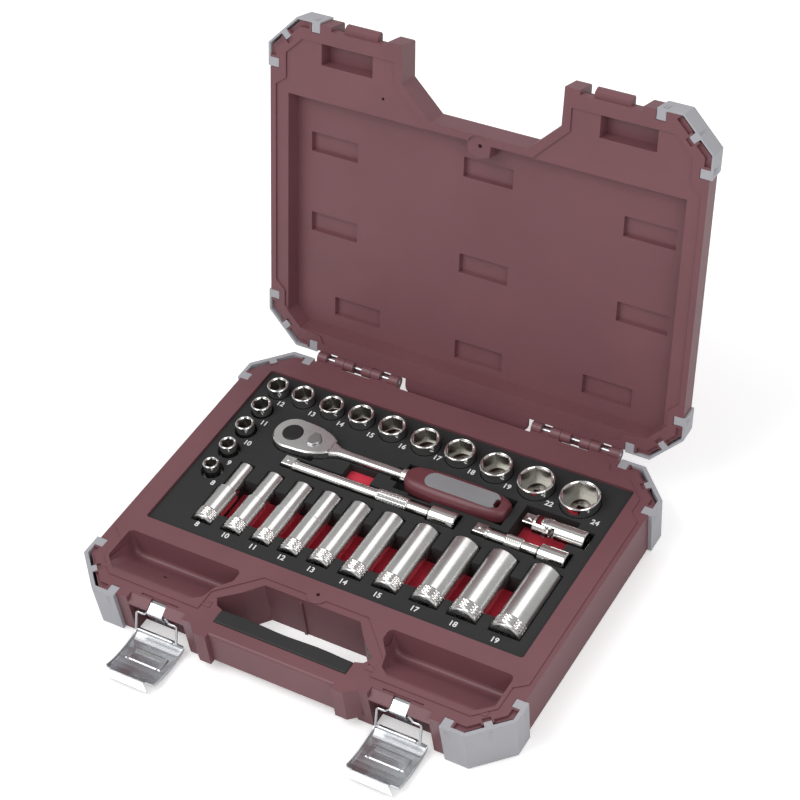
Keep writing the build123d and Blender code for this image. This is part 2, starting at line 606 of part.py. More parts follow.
def socket_names():
    """Every socket: name, size, plane at the drive end, length, nut end, hexagon depth."""
    listed = []
    for size, (x, y) in SHORT.items():
        seat = Plane(origin=(x, fy(y), SHORT_BOTTOM), x_dir=(1, 0, 0), z_dir=(0, 0, 1))
        listed.append((f"socket_{size:02d}", size, seat, SHORT_L, 14.0, 12.0))
    for size, x in DEEP.items():
        seat = Plane(origin=(x, fy(DEEP_FRONT), DEEP_Z), x_dir=(1, 0, 0), z_dir=(0, 1, 0))
        listed.append((f"deep_socket_{size:02d}", size, seat, DEEP_L, STEP_L, 24.0))
    return listed


for name, size, seat, length, nut_length, hex_depth in socket_names():
    section = Plane(origin=seat.origin, x_dir=seat.x_dir, z_dir=-seat.y_dir)
    with BuildPart() as socket:
        with BuildSketch(section):
            Polygon(*socket_profile(size, length, nut_length), align=None)
        revolve(axis=Axis(seat.origin, seat.z_dir))
        with BuildSketch(seat.offset(length)):
            RegularPolygon(radius=size / 2 + 0.1, side_count=6, major_radius=False)
        extrude(amount=-hex_depth, mode=Mode.SUBTRACT)
        with BuildSketch(seat.offset(length)):
            Circle(size * 0.577 + 0.45)
        extrude(amount=-1.0, taper=40, mode=Mode.SUBTRACT)
        with BuildSketch(seat.offset(11)):
            Circle(min(size / 2 - 0.4, 7.5))
        extrude(amount=length - 11 - hex_depth + 1, mode=Mode.SUBTRACT)
        with BuildSketch(seat):
            RectangleRounded(DRIVE, DRIVE, 0.6)
        extrude(amount=11.5, mode=Mode.SUBTRACT)
    socket.part.label = name
    export_step(socket.part, f"parts/{name}.step")

# ================= extension bars =================
for name, (x0, x1), knurl_0 in (("extension_bar_long", LONG_BAR, 83.4),
                                ("extension_bar_short", SHORT_BAR, 26.0)):
    length = x1 - x0
    start = Plane(origin=(x0, fy(BAR_Y), BAR_Z), x_dir=(0, 1, 0), z_dir=(1, 0, 0))
    section = Plane(origin=start.origin, x_dir=start.x_dir, z_dir=-start.y_dir)
    half = [(0, 9), (4.6, 9), (5.0, 9.6), (5.0, 11.6), (4.5, 12.6), (4.5, knurl_0 - 0.8),
            (5.5, knurl_0), (5.5, knurl_0 + (25.6 if length > 100 else 13.0)),
            (4.5, knurl_0 + (26.4 if length > 100 else 13.8)), (4.5, length - 23.6),
            (7.25, length - 21.0), (7.25, length - 0.8), (6.45, length), (0, length)]
    with BuildPart() as bar:
        with BuildSketch(section):
            Polygon(*half, align=None)
        revolve(axis=Axis(start.origin, start.z_dir))
        with BuildSketch(start):
            RectangleRounded(SQUARE, SQUARE, 1.1)
        extrude(amount=10)
        chamfer(bar.faces().sort_by(Axis.X)[0].edges(), 0.8)
        with Locations((x0 + 4.6, fy(BAR_Y), BAR_Z + SQUARE / 2 - 0.9)):
            Sphere(1.6)
        with BuildSketch(start.offset(length)):
            RectangleRounded(DRIVE, DRIVE, 0.6)
        extrude(amount=-12, mode=Mode.SUBTRACT)
    bar.part.label = name
    export_step(bar.part, f"parts/{name}.step")

# ================= universal joint =================
JOINT_AXIS = (JOINT_X, fy(JOINT_Y), JOINT_Z)
PIN_CROSS = 2.2
ARM_END = 3.8  # arms past the pin
ARM_ROUND = 4.4
ARM_GAP = 8.4
HUB_GAP = 8.0  # pin to the solid part of each yoke

# drive yoke: its two arms stand in front of and behind the cross
with BuildPart() as joint_driver:
    start = Plane(origin=(JOINT_TIP_X, fy(JOINT_Y), JOINT_Z), x_dir=(0, 1, 0), z_dir=(1, 0, 0))
    with BuildSketch(start):
        RectangleRounded(SQUARE, SQUARE, 1.1)
    extrude(amount=10)
    chamfer(joint_driver.faces().sort_by(Axis.X)[0].edges(), 0.8)
    with Locations((JOINT_TIP_X + 4.6, fy(JOINT_Y), JOINT_Z + SQUARE / 2 - 0.9)):
        Sphere(1.6)
    with BuildSketch(start.offset(9.5)):
        Circle(YOKE_R)
    extrude(amount=JOINT_X + ARM_END - JOINT_TIP_X - 9.5)
    # the gap between the arms, their rounded ends and the pin holes
    with BuildSketch(Plane.XY.offset(JOINT_Z - 10)):
        with Locations((JOINT_X - HUB_GAP, fy(JOINT_Y))):
            Rectangle(30, ARM_GAP, align=(Align.MIN, Align.CENTER))
    extrude(amount=20, mode=Mode.SUBTRACT)
    with BuildSketch(Plane(origin=JOINT_AXIS, x_dir=(1, 0, 0), z_dir=(0, -1, 0))):
        Rectangle(10, 20, align=(Align.MIN, Align.CENTER))
        Circle(ARM_ROUND, mode=Mode.SUBTRACT)
        Circle(PIN_CROSS)
    extrude(amount=10, both=True, mode=Mode.SUBTRACT)
joint_driver.part.label = "joint_driver"
export_step(joint_driver.part, "parts/joint_driver.step")

with BuildPart() as joint_cross:
    with Locations(JOINT_AXIS):
        Box(7.2, 7.2, 7.2)
        Cylinder(PIN_CROSS - 0.06, 14.4, rotation=(90, 0, 0))
        Cylinder(PIN_CROSS - 0.06, 14.4)
joint_cross.part.label = "joint_cross"
export_step(joint_cross.part, "parts/joint_cross.step")

# socket yoke: its arms stand above and below the cross
with BuildPart() as joint_socket:
    end = Plane(origin=(JOINT_END_X, fy(JOINT_Y), JOINT_Z), x_dir=(0, 1, 0), z_dir=(1, 0, 0))
    with BuildSketch(end):
        Circle(YOKE_R)
    extrude(amount=-(JOINT_END_X - JOINT_X + ARM_END))
    chamfer(joint_socket.faces().sort_by(Axis.X)[-1].edges(), 0.6)
    with BuildSketch(Plane(origin=JOINT_AXIS, x_dir=(1, 0, 0), z_dir=(0, -1, 0))):
        with Locations((HUB_GAP, 0)):
            Rectangle(30, ARM_GAP, align=(Align.MAX, Align.CENTER))
    extrude(amount=10, both=True, mode=Mode.SUBTRACT)
    with BuildSketch(Plane.XY.offset(JOINT_Z)):
        with Locations((JOINT_X + HUB_GAP, fy(JOINT_Y))):
            Rectangle(30, 20, align=(Align.MAX, Align.CENTER))
            Rectangle(30, ARM_GAP - 1.2, align=(Align.MAX, Align.CENTER), mode=Mode.SUBTRACT)
    extrude(amount=10, both=True, mode=Mode.SUBTRACT)
    with BuildSketch(Plane.XY.offset(JOINT_Z)):
        with Locations((JOINT_X, fy(JOINT_Y))):
            Rectangle(10, 20, align=(Align.MAX, Align.CENTER))
            Circle(ARM_ROUND, mode=Mode.SUBTRACT)
            Circle(PIN_CROSS)
    extrude(amount=10, both=True, mode=Mode.SUBTRACT)
    with BuildSketch(end):
        RectangleRounded(DRIVE, DRIVE, 0.6)
    extrude(amount=-13, mode=Mode.SUBTRACT)
joint_socket.part.label = "joint_socket"
export_step(joint_socket.part, "parts/joint_socket.step")

# ================= ratchet =================
HEAD_TOP = RATCHET_Z + HEAD_T / 2
HEAD_AT = (HEAD_X, fy(RATCHET_Y))
LEVER_AT = (-82.0, fy(RATCHET_Y))

with BuildPart() as ratchet_body:
    with BuildSketch(Plane.XY.offset(RATCHET_Z - HEAD_T / 2)):
        with Locations(HEAD_AT):
            Circle(HEAD_R)
        Polygon(*([(x, fy(RATCHET_Y) + half) for x, half in RATCHET_OUTLINE[:6]]
                  + [(x, fy(RATCHET_Y) - half) for x, half in reversed(RATCHET_OUTLINE[:6])]),
                align=None)
    extrude(amount=HEAD_T)
    chamfer(ratchet_body.faces().sort_by(Axis.Z)[-1].edges(), 1.0)
    chamfer(ratchet_body.faces().sort_by(Axis.Z)[0].edges(), 1.0)
    # neck and shank
    for x, width, height, corner in ((-69, 16, 9, 3.0), (-60, 8.4, 7.6, 2.8), (-51, 7.2, 7.2, 2.6)):
        with BuildSketch(Plane(origin=(x, fy(RATCHET_Y), RATCHET_Z), x_dir=(0, 1, 0), z_dir=(1, 0, 0))):
            RectangleRounded(width, height, corner)
    loft(ruled=True)
    with BuildSketch(Plane(origin=(-51.5, fy(RATCHET_Y), RATCHET_Z), x_dir=(0, 1, 0), z_dir=(1, 0, 0))):
        RectangleRounded(7.2, 7.2, 2.6)
    extrude(amount=51.5)
    # gear bore and pawl pocket, open below under the cover plate
    with BuildSketch(Plane.XY.offset(RATCHET_Z - HEAD_T / 2)):
        with Locations(HEAD_AT):
            Circle(11.2)
        with Locations((-86.5, fy(RATCHET_Y))):
            Rectangle(15, 13)
    extrude(amount=HEAD_T - 2.6, mode=Mode.SUBTRACT)
    with BuildSketch(Plane.XY.offset(RATCHET_Z - HEAD_T / 2)):
        with Locations(HEAD_AT):
            Circle(13.4)
        with Locations((-87, fy(RATCHET_Y))):
            Rectangle(19, 17)
    extrude(amount=1.4, mode=Mode.SUBTRACT)
    # holes for the button and the lever spindle
    with BuildSketch(Plane.XY.offset(RATCHET_Z)):
        with Locations(HEAD_AT):
            Circle(8.3)
        with Locations(LEVER_AT):
            Circle(3.2)
    extrude(amount=HEAD_T, mode=Mode.SUBTRACT)
ratchet_body.part.label = "ratchet_body"
export_step(ratchet_body.part, "parts/ratchet_body.step")

with BuildPart() as ratchet_cover:
    with BuildSketch(Plane.XY.offset(RATCHET_Z - HEAD_T / 2)):
        with Locations(HEAD_AT):
            Circle(13.4)
        with Locations((-87, fy(RATCHET_Y))):
            Rectangle(19, 17)
        with Locations(HEAD_AT):
            Circle(7.4, mode=Mode.SUBTRACT)
    extrude(amount=1.35)
ratchet_cover.part.label = "ratchet_cover"
export_step(ratchet_cover.part, "parts/ratchet_cover.step")

TOOTH_N = 24
with BuildPart() as ratchet_gear:
    with BuildSketch(Plane.XY.offset(RATCHET_Z - HEAD_T / 2 + 1.45)):
        with Locations(HEAD_AT):
            Circle(10.8)
        with Locations(HEAD_AT):
            with PolarLocations(11.1, TOOTH_N):
                Circle(0.9, mode=Mode.SUBTRACT)
    extrude(amount=HEAD_T - 2.6 - 1.55)
    with BuildSketch(Plane.XY.offset(RATCHET_Z - HEAD_T / 2 - 1.0)):
        with Locations(HEAD_AT):
            Circle(7.1)
    extrude(amount=3)
    with BuildSketch(Plane.XY.offset(RATCHET_Z - HEAD_T / 2 - 11.4)):
        with Locations(HEAD_AT):
            RectangleRounded(SQUARE, SQUARE, 1.0)
    extrude(amount=11)
    chamfer(ratchet_gear.faces().sort_by(Axis.Z)[0].edges(), 0.8)
    with BuildSketch(Plane.XY.offset(RATCHET_Z - 1)):
        with Locations(HEAD_AT):
            Circle(6.2)
    extrude(amount=10, mode=Mode.SUBTRACT)
ratchet_gear.part.label = "ratchet_gear"
export_step(ratchet_gear.part, "parts/ratchet_gear.step")

with BuildPart() as release_button:
    with BuildSketch(Plane.XY.offset(HEAD_TOP - 1.1)):
        with Locations(HEAD_AT):
            Circle(8.0)
    extrude(amount=1.6)
    chamfer(release_button.faces().sort_by(Axis.Z)[-1].edges(), 0.4)
    with BuildSketch(Plane.XY.offset(RATCHET_Z + 0.8)):
        with Locations(HEAD_AT):
            Circle(4.0)
    extrude(amount=HEAD_T / 2 - 1.5)
release_button.part.label = "release_button"
export_step(release_button.part, "parts/release_button.step")

with BuildPart() as reverse_lever:
    with BuildSketch(Plane.XY.offset(HEAD_TOP + 0.2)):
        with Locations(LEVER_AT):
            Circle(5.2)
        with Locations((LEVER_AT[0] - 1, LEVER_AT[1])):
            Rectangle(5.5, 12.5)
    extrude(amount=1.6)
    fillet(reverse_lever.edges().filter_by(Axis.Z), 0.8)
    chamfer(reverse_lever.faces().sort_by(Axis.Z)[-1].edges(), 0.4)
    with BuildSketch(Plane.XY.offset(RATCHET_Z + 0.4)):
        with Locations(LEVER_AT):
            Circle(3.1)
    extrude(amount=HEAD_T / 2)
reverse_lever.part.label = "reverse_lever"
export_step(reverse_lever.part, "parts/reverse_lever.step")

with BuildPart() as ratchet_pawl:
    with BuildSketch(Plane.XY.offset(RATCHET_Z - HEAD_T / 2 + 1.6)):
        with Locations((LEVER_AT[0] - 4, LEVER_AT[1])):
            Rectangle(3.6, 9)
        with Locations(LEVER_AT):
            Circle(3.0)
    extrude(amount=4.6)
ratchet_pawl.part.label = "ratchet_pawl"
export_step(ratchet_pawl.part, "parts/ratchet_pawl.step")

with BuildPart() as ratchet_collar:
    with BuildSketch(Plane(origin=(-5, fy(RATCHET_Y), RATCHET_Z), x_dir=(0, 1, 0), z_dir=(1, 0, 0))):
        Circle(6.0)
        RectangleRounded(7.3, 7.3, 2.65, mode=Mode.SUBTRACT)
    extrude(amount=4)
ratchet_collar.part.label = "ratchet_collar"
export_step(ratchet_collar.part, "parts/ratchet_collar.step")

# grip: (x, half width, half height)
GRIP = ((-1, 6.0, 6.2), (3, 10.0, 7.6), (12, 12.0, 8.2), (25, 13.0, 8.4), (45, 13.0, 8.3),
        (60, 12.5, 8.0), (72, 11.2, 7.4), (80, 9.2, 6.6), (84, 5.5, 5.2))
GRIP_Z = FOAM_TOP - 0.4
with BuildPart() as ratchet_grip:
    for x, half_w, half_h in GRIP:
        with BuildSketch(Plane(origin=(x, fy(RATCHET_Y), GRIP_Z), x_dir=(0, 1, 0), z_dir=(1, 0, 0))):
            RectangleRounded(2 * half_w, 2 * half_h, min(half_w, half_h) * 0.8)
    loft()
    # the shank runs into the grip
    with BuildSketch(Plane(origin=(-1.5, fy(RATCHET_Y), RATCHET_Z), x_dir=(0, 1, 0), z_dir=(1, 0, 0))):
        RectangleRounded(7.2, 7.2, 2.6)
    extrude(amount=1.5, mode=Mode.SUBTRACT)
    # seat of the inlay, and the hanging slot
    with BuildSketch(Plane.XY.offset(GRIP_Z + 7.2)):
        with Locations((46, fy(RATCHET_Y))):
            SlotOverall(62, 15)
    extrude(amount=5, mode=Mode.SUBTRACT)
    with BuildSketch(Plane.XY.offset(GRIP_Z - 12)):
        with Locations((75.5, fy(RATCHET_Y) - 1)):
            SlotOverall(8, 4, rotation=90)
    extrude(amount=24, mode=Mode.SUBTRACT)
ratchet_grip.part.label = "ratchet_grip"
export_step(ratchet_grip.part, "parts/ratchet_grip.step")

with BuildPart() as grip_inlay:
    with BuildSketch(Plane.XY.offset(GRIP_Z + 7.22)):
        with Locations((46, fy(RATCHET_Y))):
            SlotOverall(61.9, 14.9)
        with Locations((75.5, fy(RATCHET_Y) - 1)):
            SlotOverall(8.1, 4.1, rotation=90, mode=Mode.SUBTRACT)
    extrude(amount=1.0)
grip_inlay.part.label = "grip_inlay"
export_step(grip_inlay.part, "parts/grip_inlay.step")

# ================= latches =================
CLIP_LINE = ((10.3, 31.7), (10.3, 35.28), (8.37, 35.28), (1.97, 31.18), (2.4, 28.2), (4.3, 25.9),
             (7.2, 24.4), (8.35, 22.6), (8.35, 14.5))
LEVER_PLATE = ((1.5, 2.1), (-36.5, 4.9), (-38.9, 9.0), (-44.2, 6.2))
dy = BAIL_PIVOT[0] - LEVER_PIVOT[0]
dz = BAIL_PIVOT[1] - LEVER_PIVOT[1]
BAIL_L = hypot(dy, dz)

for side, middle in (("left", -LATCH_X), ("right", LATCH_X)):
    # clip: a strip over the nose and in front of the wire, riveted to the wall below
    with BuildPart() as latch_clip:
        with BuildSketch(Plane.YZ.offset(middle - 6.4)):
            Polygon(*[(fy(y), z) for y, z in strip(CLIP_LINE, 1.0)], align=None)
        extrude(amount=12.8)
        with BuildSketch(Plane(origin=(middle, fy(8.0), 18), x_dir=(1, 0, 0), z_dir=(0, -1, 0))):
            Circle(2.4)
        extrude(amount=1.1)
    latch_clip.part.label = f"latch_clip_{side}"
    export_step(latch_clip.part, f"parts/latch_clip_{side}.step")

    # bail: one bent wire, its raised middle held by the clip
    wire = Plane(origin=(middle, fy(BAIL_PIVOT[0]), BAIL_PIVOT[1]), x_dir=(1, 0, 0),
                 z_dir=(0, -dz / BAIL_L, dy / BAIL_L))
    with BuildPart() as latch_bail:
        with BuildLine(wire) as bend:
            FilletPolyline((-BAIL_HALF, -BAIL_L), (-BAIL_HALF, -2.6), (-11, -2.6), (-8, 0), (8, 0),
                           (11, -2.6), (BAIL_HALF, -2.6), (BAIL_HALF, -BAIL_L), radius=1.7)
        with BuildSketch(Plane(origin=bend.wire() @ 0, z_dir=bend.wire() % 0)):
            Circle(WIRE_R)
        sweep()
        with BuildSketch(Plane.YZ.offset(middle - BAIL_HALF)):
            with Locations((fy(LEVER_PIVOT[0]), LEVER_PIVOT[1])):
                Circle(WIRE_R)
        extrude(amount=2 * BAIL_HALF)
        with Locations((middle - BAIL_HALF, fy(LEVER_PIVOT[0]), LEVER_PIVOT[1]),
                       (middle + BAIL_HALF, fy(LEVER_PIVOT[0]), LEVER_PIVOT[1])):
            Sphere(WIRE_R)
    latch_bail.part.label = f"latch_bail_{side}"
    export_step(latch_bail.part, f"parts/latch_bail_{side}.step")

    # lever: rolled end round the wire, plate with upturned sides, hook lip
    with BuildPart() as latch_lever:
        with BuildSketch(Plane.YZ.offset(middle - 15)):
            with Locations((fy(LEVER_PIVOT[0]), LEVER_PIVOT[1])):
                Circle(WIRE_R + 0.06 + SHEET)
            Polygon((fy(LEVER_PIVOT[0] + WIRE_R + 0.06), LEVER_PIVOT[1]),
                    (fy(LEVER_PIVOT[0] + WIRE_R + 0.06 + SHEET), LEVER_PIVOT[1]),
                    (fy(LEVER_PIVOT[0] + WIRE_R + 0.06 + SHEET), 2.0),
                    (fy(LEVER_PIVOT[0] + WIRE_R + 0.06), 2.0), align=None)
            with Locations((fy(LEVER_PIVOT[0]), LEVER_PIVOT[1])):
                Circle(WIRE_R + 0.06, mode=Mode.SUBTRACT)
        extrude(amount=30)
        with BuildSketch(Plane.YZ.offset(middle - LEVER_HALF)):
            Polygon(*[(fy(y), z) for y, z in strip(LEVER_PLATE, SHEET)], align=None)
        extrude(amount=2 * LEVER_HALF)
        for edge in (-1, 1):
            inner = middle + edge * (LEVER_HALF - SHEET)
            with BuildSketch(Plane.YZ.offset(inner)):
                Polygon(*[(fy(y), z) for y, z in ((1.5, 1.7), (1.5, 3.4), (-4, 5.2), (-33, 7.6),
                                                 (-36.6, 6.5), (-36.6, 4.6))], align=None)
            extrude(amount=edge * SHEET)
        # raised panel pressed in the plate
        with BuildSketch(Plane(origin=(middle, fy(-17.5), 3.5), x_dir=(1, 0, 0),
                               z_dir=(0, 0.0735, 0.9973))):
            RectangleRounded(22, 18, 3)
        extrude(amount=0.8)
    latch_lever.part.label = f"latch_lever_{side}"
    export_step(latch_lever.part, f"parts/latch_lever_{side}.step")
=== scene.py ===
"""Socket wrench set in its case: finishes, fine pieces, studio and camera."""
import json
import logging
import math
from dataclasses import dataclass, field
from enum import Enum
from typing import Callable, Sequence

import bmesh
import bpy
from mathutils import Matrix, Vector

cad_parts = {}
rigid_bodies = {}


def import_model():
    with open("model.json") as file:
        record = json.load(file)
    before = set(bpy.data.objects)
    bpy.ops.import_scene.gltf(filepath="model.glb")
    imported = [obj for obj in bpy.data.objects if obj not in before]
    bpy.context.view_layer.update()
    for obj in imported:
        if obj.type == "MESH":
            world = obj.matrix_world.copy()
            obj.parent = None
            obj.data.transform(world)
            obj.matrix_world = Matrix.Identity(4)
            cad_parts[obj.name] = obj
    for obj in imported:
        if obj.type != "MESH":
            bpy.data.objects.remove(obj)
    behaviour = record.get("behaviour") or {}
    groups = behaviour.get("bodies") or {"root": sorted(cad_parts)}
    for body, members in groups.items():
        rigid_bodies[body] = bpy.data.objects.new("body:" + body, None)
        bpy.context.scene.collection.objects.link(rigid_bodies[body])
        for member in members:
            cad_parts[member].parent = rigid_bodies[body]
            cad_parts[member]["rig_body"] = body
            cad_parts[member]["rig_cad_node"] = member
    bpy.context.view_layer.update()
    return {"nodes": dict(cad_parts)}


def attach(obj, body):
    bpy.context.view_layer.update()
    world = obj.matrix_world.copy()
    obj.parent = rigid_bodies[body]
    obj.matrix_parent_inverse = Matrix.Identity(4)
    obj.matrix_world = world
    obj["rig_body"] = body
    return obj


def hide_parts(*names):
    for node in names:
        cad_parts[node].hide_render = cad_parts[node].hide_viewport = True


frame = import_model()
LOG = logging.getLogger("socket_set")
MM = 0.001
FRONT = -138.0 * MM
FOAM_TOP = 36.7 * MM


class Pattern(Enum):
    """What breaks up the surface of a finish."""

    MOULDED = "moulded"
    FOAM = "foam"
    POLISHED = "polished"
    PRESSED = "pressed"
    RUBBER = "rubber"
    PRINT = "print"


class NodeBench:
    """Adds nodes to a material and wires them up."""

    def __init__(self, name: str) -> None:
        """Starts an empty node material.

        Args:
            name: the material's name.
        """
        self.material = bpy.data.materials.new(name)
        self.material.use_nodes = True
        self.tree = self.material.node_tree
        self.tree.nodes.clear()
        self.output = self.tree.nodes.new("ShaderNodeOutputMaterial")
        self.shader = self.tree.nodes.new("ShaderNodeBsdfPrincipled")
        self.link(self.shader.outputs["BSDF"], self.output.inputs["Surface"])
        self.coordinates = self.tree.nodes.new("ShaderNodeTexCoord")

    def link(self, source: bpy.types.NodeSocket, target: bpy.types.NodeSocket) -> None:
        """Joins two sockets."""
        self.tree.links.new(source, target)

    def noise(
        self, scale: float, detail: float, stretch: Sequence[float] = (1, 1, 1)
    ) -> bpy.types.NodeSocket:
        """Adds a noise texture on the object's own coordinates.

        Args:
            scale: noise cells per metre.
            detail: octaves.
            stretch: scale along each axis.

        Returns:
            The noise value.
        """
        place = self.tree.nodes.new("ShaderNodeMapping")
        place.inputs["Scale"].default_value = stretch
        self.link(self.coordinates.outputs["Object"], place.inputs["Vector"])
        node = self.tree.nodes.new("ShaderNodeTexNoise")
        node.inputs["Scale"].default_value = scale
        node.inputs["Detail"].default_value = detail
        self.link(place.outputs["Vector"], node.inputs["Vector"])
        return node.outputs["Fac"]

    def cells(self, scale: float) -> bpy.types.NodeSocket:
        """Adds a cell texture, for the pores of foam."""
        node = self.tree.nodes.new("ShaderNodeTexVoronoi")
        node.inputs["Scale"].default_value = scale
        self.link(self.coordinates.outputs["Object"], node.inputs["Vector"])
        return node.outputs["Distance"]

    def ramp(self, value: bpy.types.NodeSocket, low: float, high: float) -> bpy.types.NodeSocket:
        """Maps a value from 0..1 to a range.

        Args:
            value: the socket to map.
            low: result at 0.
            high: result at 1.

        Returns:
            The mapped value.
        """
        node = self.tree.nodes.new("ShaderNodeMapRange")
        node.inputs["To Min"].default_value = low
        node.inputs["To Max"].default_value = high
        self.link(value, node.inputs["Value"])
        return node.outputs["Result"]

    def blend(
        self,
        value: bpy.types.NodeSocket,
        first: Sequence[float],
        second: Sequence[float],
        low: float,
        high: float,
    ) -> bpy.types.NodeSocket:
        """Blends two colours by a value.

        Args:
            value: the socket that decides.
            first: colour at and below low.
            second: colour at and above high.
            low: start of the blend.
            high: end of the blend.

        Returns:
            The blended colour.
        """
        node = self.tree.nodes.new("ShaderNodeValToRGB")
        node.color_ramp.elements[0].position = low
        node.color_ramp.elements[0].color = (*first, 1)
        node.color_ramp.elements[1].position = high
        node.color_ramp.elements[1].color = (*second, 1)
        self.link(value, node.inputs["Fac"])
        return node.outputs["Color"]

    def math(self, operation: str, first: bpy.types.NodeSocket, second) -> bpy.types.NodeSocket:
        """Adds a math node.

        Args:
            operation: the node's operation.
            first: first operand.
            second: second operand, a socket or a number.

        Returns:
            The result.
        """
        node = self.tree.nodes.new("ShaderNodeMath")
        node.operation = operation
        self.link(first, node.inputs[0])
        if isinstance(second, (int, float)):
            node.inputs[1].default_value = second
        else:
            self.link(second, node.inputs[1])
        return node.outputs[0]

    def bump(self, height: bpy.types.NodeSocket, strength: float, distance: float) -> None:
        """Roughens the surface by a height.

        Args:
            height: the height socket.
            strength: how much of it shows.
            distance: height of 1, in metres.
        """
        node = self.tree.nodes.new("ShaderNodeBump")
        node.inputs["Strength"].default_value = strength
        node.inputs["Distance"].default_value = distance
        self.link(height, node.inputs["Height"])
        self.link(node.outputs["Normal"], self.shader.inputs["Normal"])


@dataclass(frozen=True)
class Finish:
    """One surface finish of the set."""

    name: str
    colour: tuple
    pattern: Pattern
    roughness: float
    metal: float = 0.0
    shift: float = 0.12
    relief: float = 0.00012

    def build(self) -> bpy.types.Material:
        """Makes the material.

        Returns:
            The node material.
        """
        bench = NodeBench(self.name)
        shader = bench.shader
        shader.inputs["Metallic"].default_value = self.metal
        dark = tuple(c * (1 - self.shift) for c in self.colour)
        light = tuple(min(1.0, c * (1 + self.shift)) for c in self.colour)
        if self.pattern is Pattern.MOULDED:
            cloud = bench.noise(14, 4)
            grain = bench.noise(1500, 3)
            bench.link(bench.blend(cloud, dark, light, 0.35, 0.68), shader.inputs["Base Color"])
            fine = bench.ramp(grain, -0.07, 0.07)
            broad = bench.ramp(cloud, self.roughness - 0.05, self.roughness + 0.05)
            bench.link(bench.math("ADD", fine, broad), shader.inputs["Roughness"])
            bench.bump(grain, 0.35, self.relief)
        elif self.pattern is Pattern.FOAM:
            pores = bench.cells(900)
            speck = bench.noise(2600, 2)
            bench.link(bench.blend(speck, dark, light, 0.3, 0.75), shader.inputs["Base Color"])
            self._roughen(bench, speck, 0.08, 0.06)
            bench.bump(bench.math("ADD", pores, speck), 0.5, self.relief)
        elif self.pattern is Pattern.POLISHED:
            smear = bench.noise(60, 4)
            fine = bench.noise(700, 3)
            bench.link(bench.blend(smear, dark, light, 0.3, 0.7), shader.inputs["Base Color"])
            self._roughen(bench, smear, 0.03, 0.05)
            bench.bump(fine, 0.06, self.relief)
        elif self.pattern is Pattern.PRESSED:
            smear = bench.noise(90, 5, (1, 6, 6))
            fine = bench.noise(900, 4, (1, 5, 5))
            bench.link(bench.blend(smear, dark, light, 0.3, 0.7), shader.inputs["Base Color"])
            self._roughen(bench, fine, 0.06, 0.1)
            bench.bump(fine, 0.12, self.relief)
        elif self.pattern is Pattern.RUBBER:
            grain = bench.noise(1100, 5)
            cloud = bench.noise(30, 3)
            bench.link(bench.blend(cloud, dark, light, 0.3, 0.7), shader.inputs["Base Color"])
            self._roughen(bench, grain, 0.08, 0.08)
            bench.bump(grain, 0.4, self.relief)
        else:
            grain = bench.noise(1800, 2)
            bench.link(bench.blend(grain, dark, light, 0.3, 0.7), shader.inputs["Base Color"])
            shader.inputs["Roughness"].default_value = self.roughness
            bench.bump(grain, 0.2, self.relief)
        return bench.material

    def _roughen(self, bench: NodeBench, value: bpy.types.NodeSocket, below: float, above: float) -> None:
        """Lets a value vary the roughness from below to above the finish's own."""
        spread = bench.ramp(value, self.roughness - below, self.roughness + above)
        bench.link(spread, bench.shader.inputs["Roughness"])


SHELL = Finish("shell plastic", (0.178, 0.070, 0.082), Pattern.MOULDED, 0.42, shift=0.06)
GUARD = Finish("guard plastic", (0.40, 0.40, 0.43), Pattern.MOULDED, 0.42, shift=0.05)
PAD = Finish("pad rubber", (0.018, 0.017, 0.018), Pattern.RUBBER, 0.6, relief=0.0002)
BLACK_FOAM = Finish("black foam", (0.022, 0.022, 0.023), Pattern.FOAM, 0.8, shift=0.3)
RED_FOAM = Finish("red foam", (0.74, 0.04, 0.075), Pattern.FOAM, 0.75, shift=0.15)
CHROME = Finish("polished chrome", (0.80, 0.79, 0.77), Pattern.POLISHED, 0.10, metal=1.0, shift=0.05)
SATIN = Finish("satin chrome", (0.76, 0.76, 0.75), Pattern.POLISHED, 0.26, metal=1.0, shift=0.08)
# Bore steel: rougher than the chrome (real), and its darker colour is painted shade inside the socket bores.
BORE_SHADE = Finish("bore steel with painted shade", (0.46, 0.45, 0.42), Pattern.POLISHED, 0.3, metal=1.0, shift=0.08)
PLATED = Finish("plated sheet steel", (0.60, 0.61, 0.63), Pattern.PRESSED, 0.27, metal=1.0, shift=0.07)
DARK_STEEL = Finish("steel", (0.45, 0.45, 0.46), Pattern.PRESSED, 0.3, metal=1.0, shift=0.1)
BLACK_PLASTIC = Finish("black plastic", (0.012, 0.012, 0.013), Pattern.MOULDED, 0.35, shift=0.2)
GRIP_RED = Finish("grip plastic", (0.14, 0.035, 0.045), Pattern.MOULDED, 0.35, shift=0.08)
GRIP_GREY = Finish("grip inlay", (0.26, 0.26, 0.27), Pattern.RUBBER, 0.5, shift=0.06, relief=0.00008)
PRINT = Finish("white print", (0.80, 0.80, 0.80), Pattern.PRINT, 0.6, shift=0.04, relief=0.00004)


class FinishShop:
    """Builds each finish once."""

    def __init__(self) -> None:
        """Starts with none built."""
        self.built: dict[str, bpy.types.Material] = {}

    def get(self, finish: Finish) -> bpy.types.Material:
        """Returns the finish's material."""
        if finish.name not in self.built:
            self.built[finish.name] = finish.build()
        return self.built[finish.name]

    def dress_node(self, node: str, finish: Finish) -> None:
        """Gives a CAD node a finish.

        Args:
            node: the node's name.
            finish: its finish.
        """
        obj = frame["nodes"][node]
        material = self.get(finish)
        if not obj.material_slots:
            obj.data.materials.append(material)
        for slot in obj.material_slots:
            slot.material = material


def select_only(obj: bpy.types.Object) -> None:
    """Selects one object and makes it active."""
    bpy.ops.object.select_all(action="DESELECT")
    obj.select_set(True)
    bpy.context.view_layer.objects.active = obj


def apply_modifiers(obj: bpy.types.Object) -> None:
    """Applies the object's modifiers in order."""
    select_only(obj)
    for modifier in list(obj.modifiers):
        bpy.ops.object.modifier_apply(modifier=modifier.name)


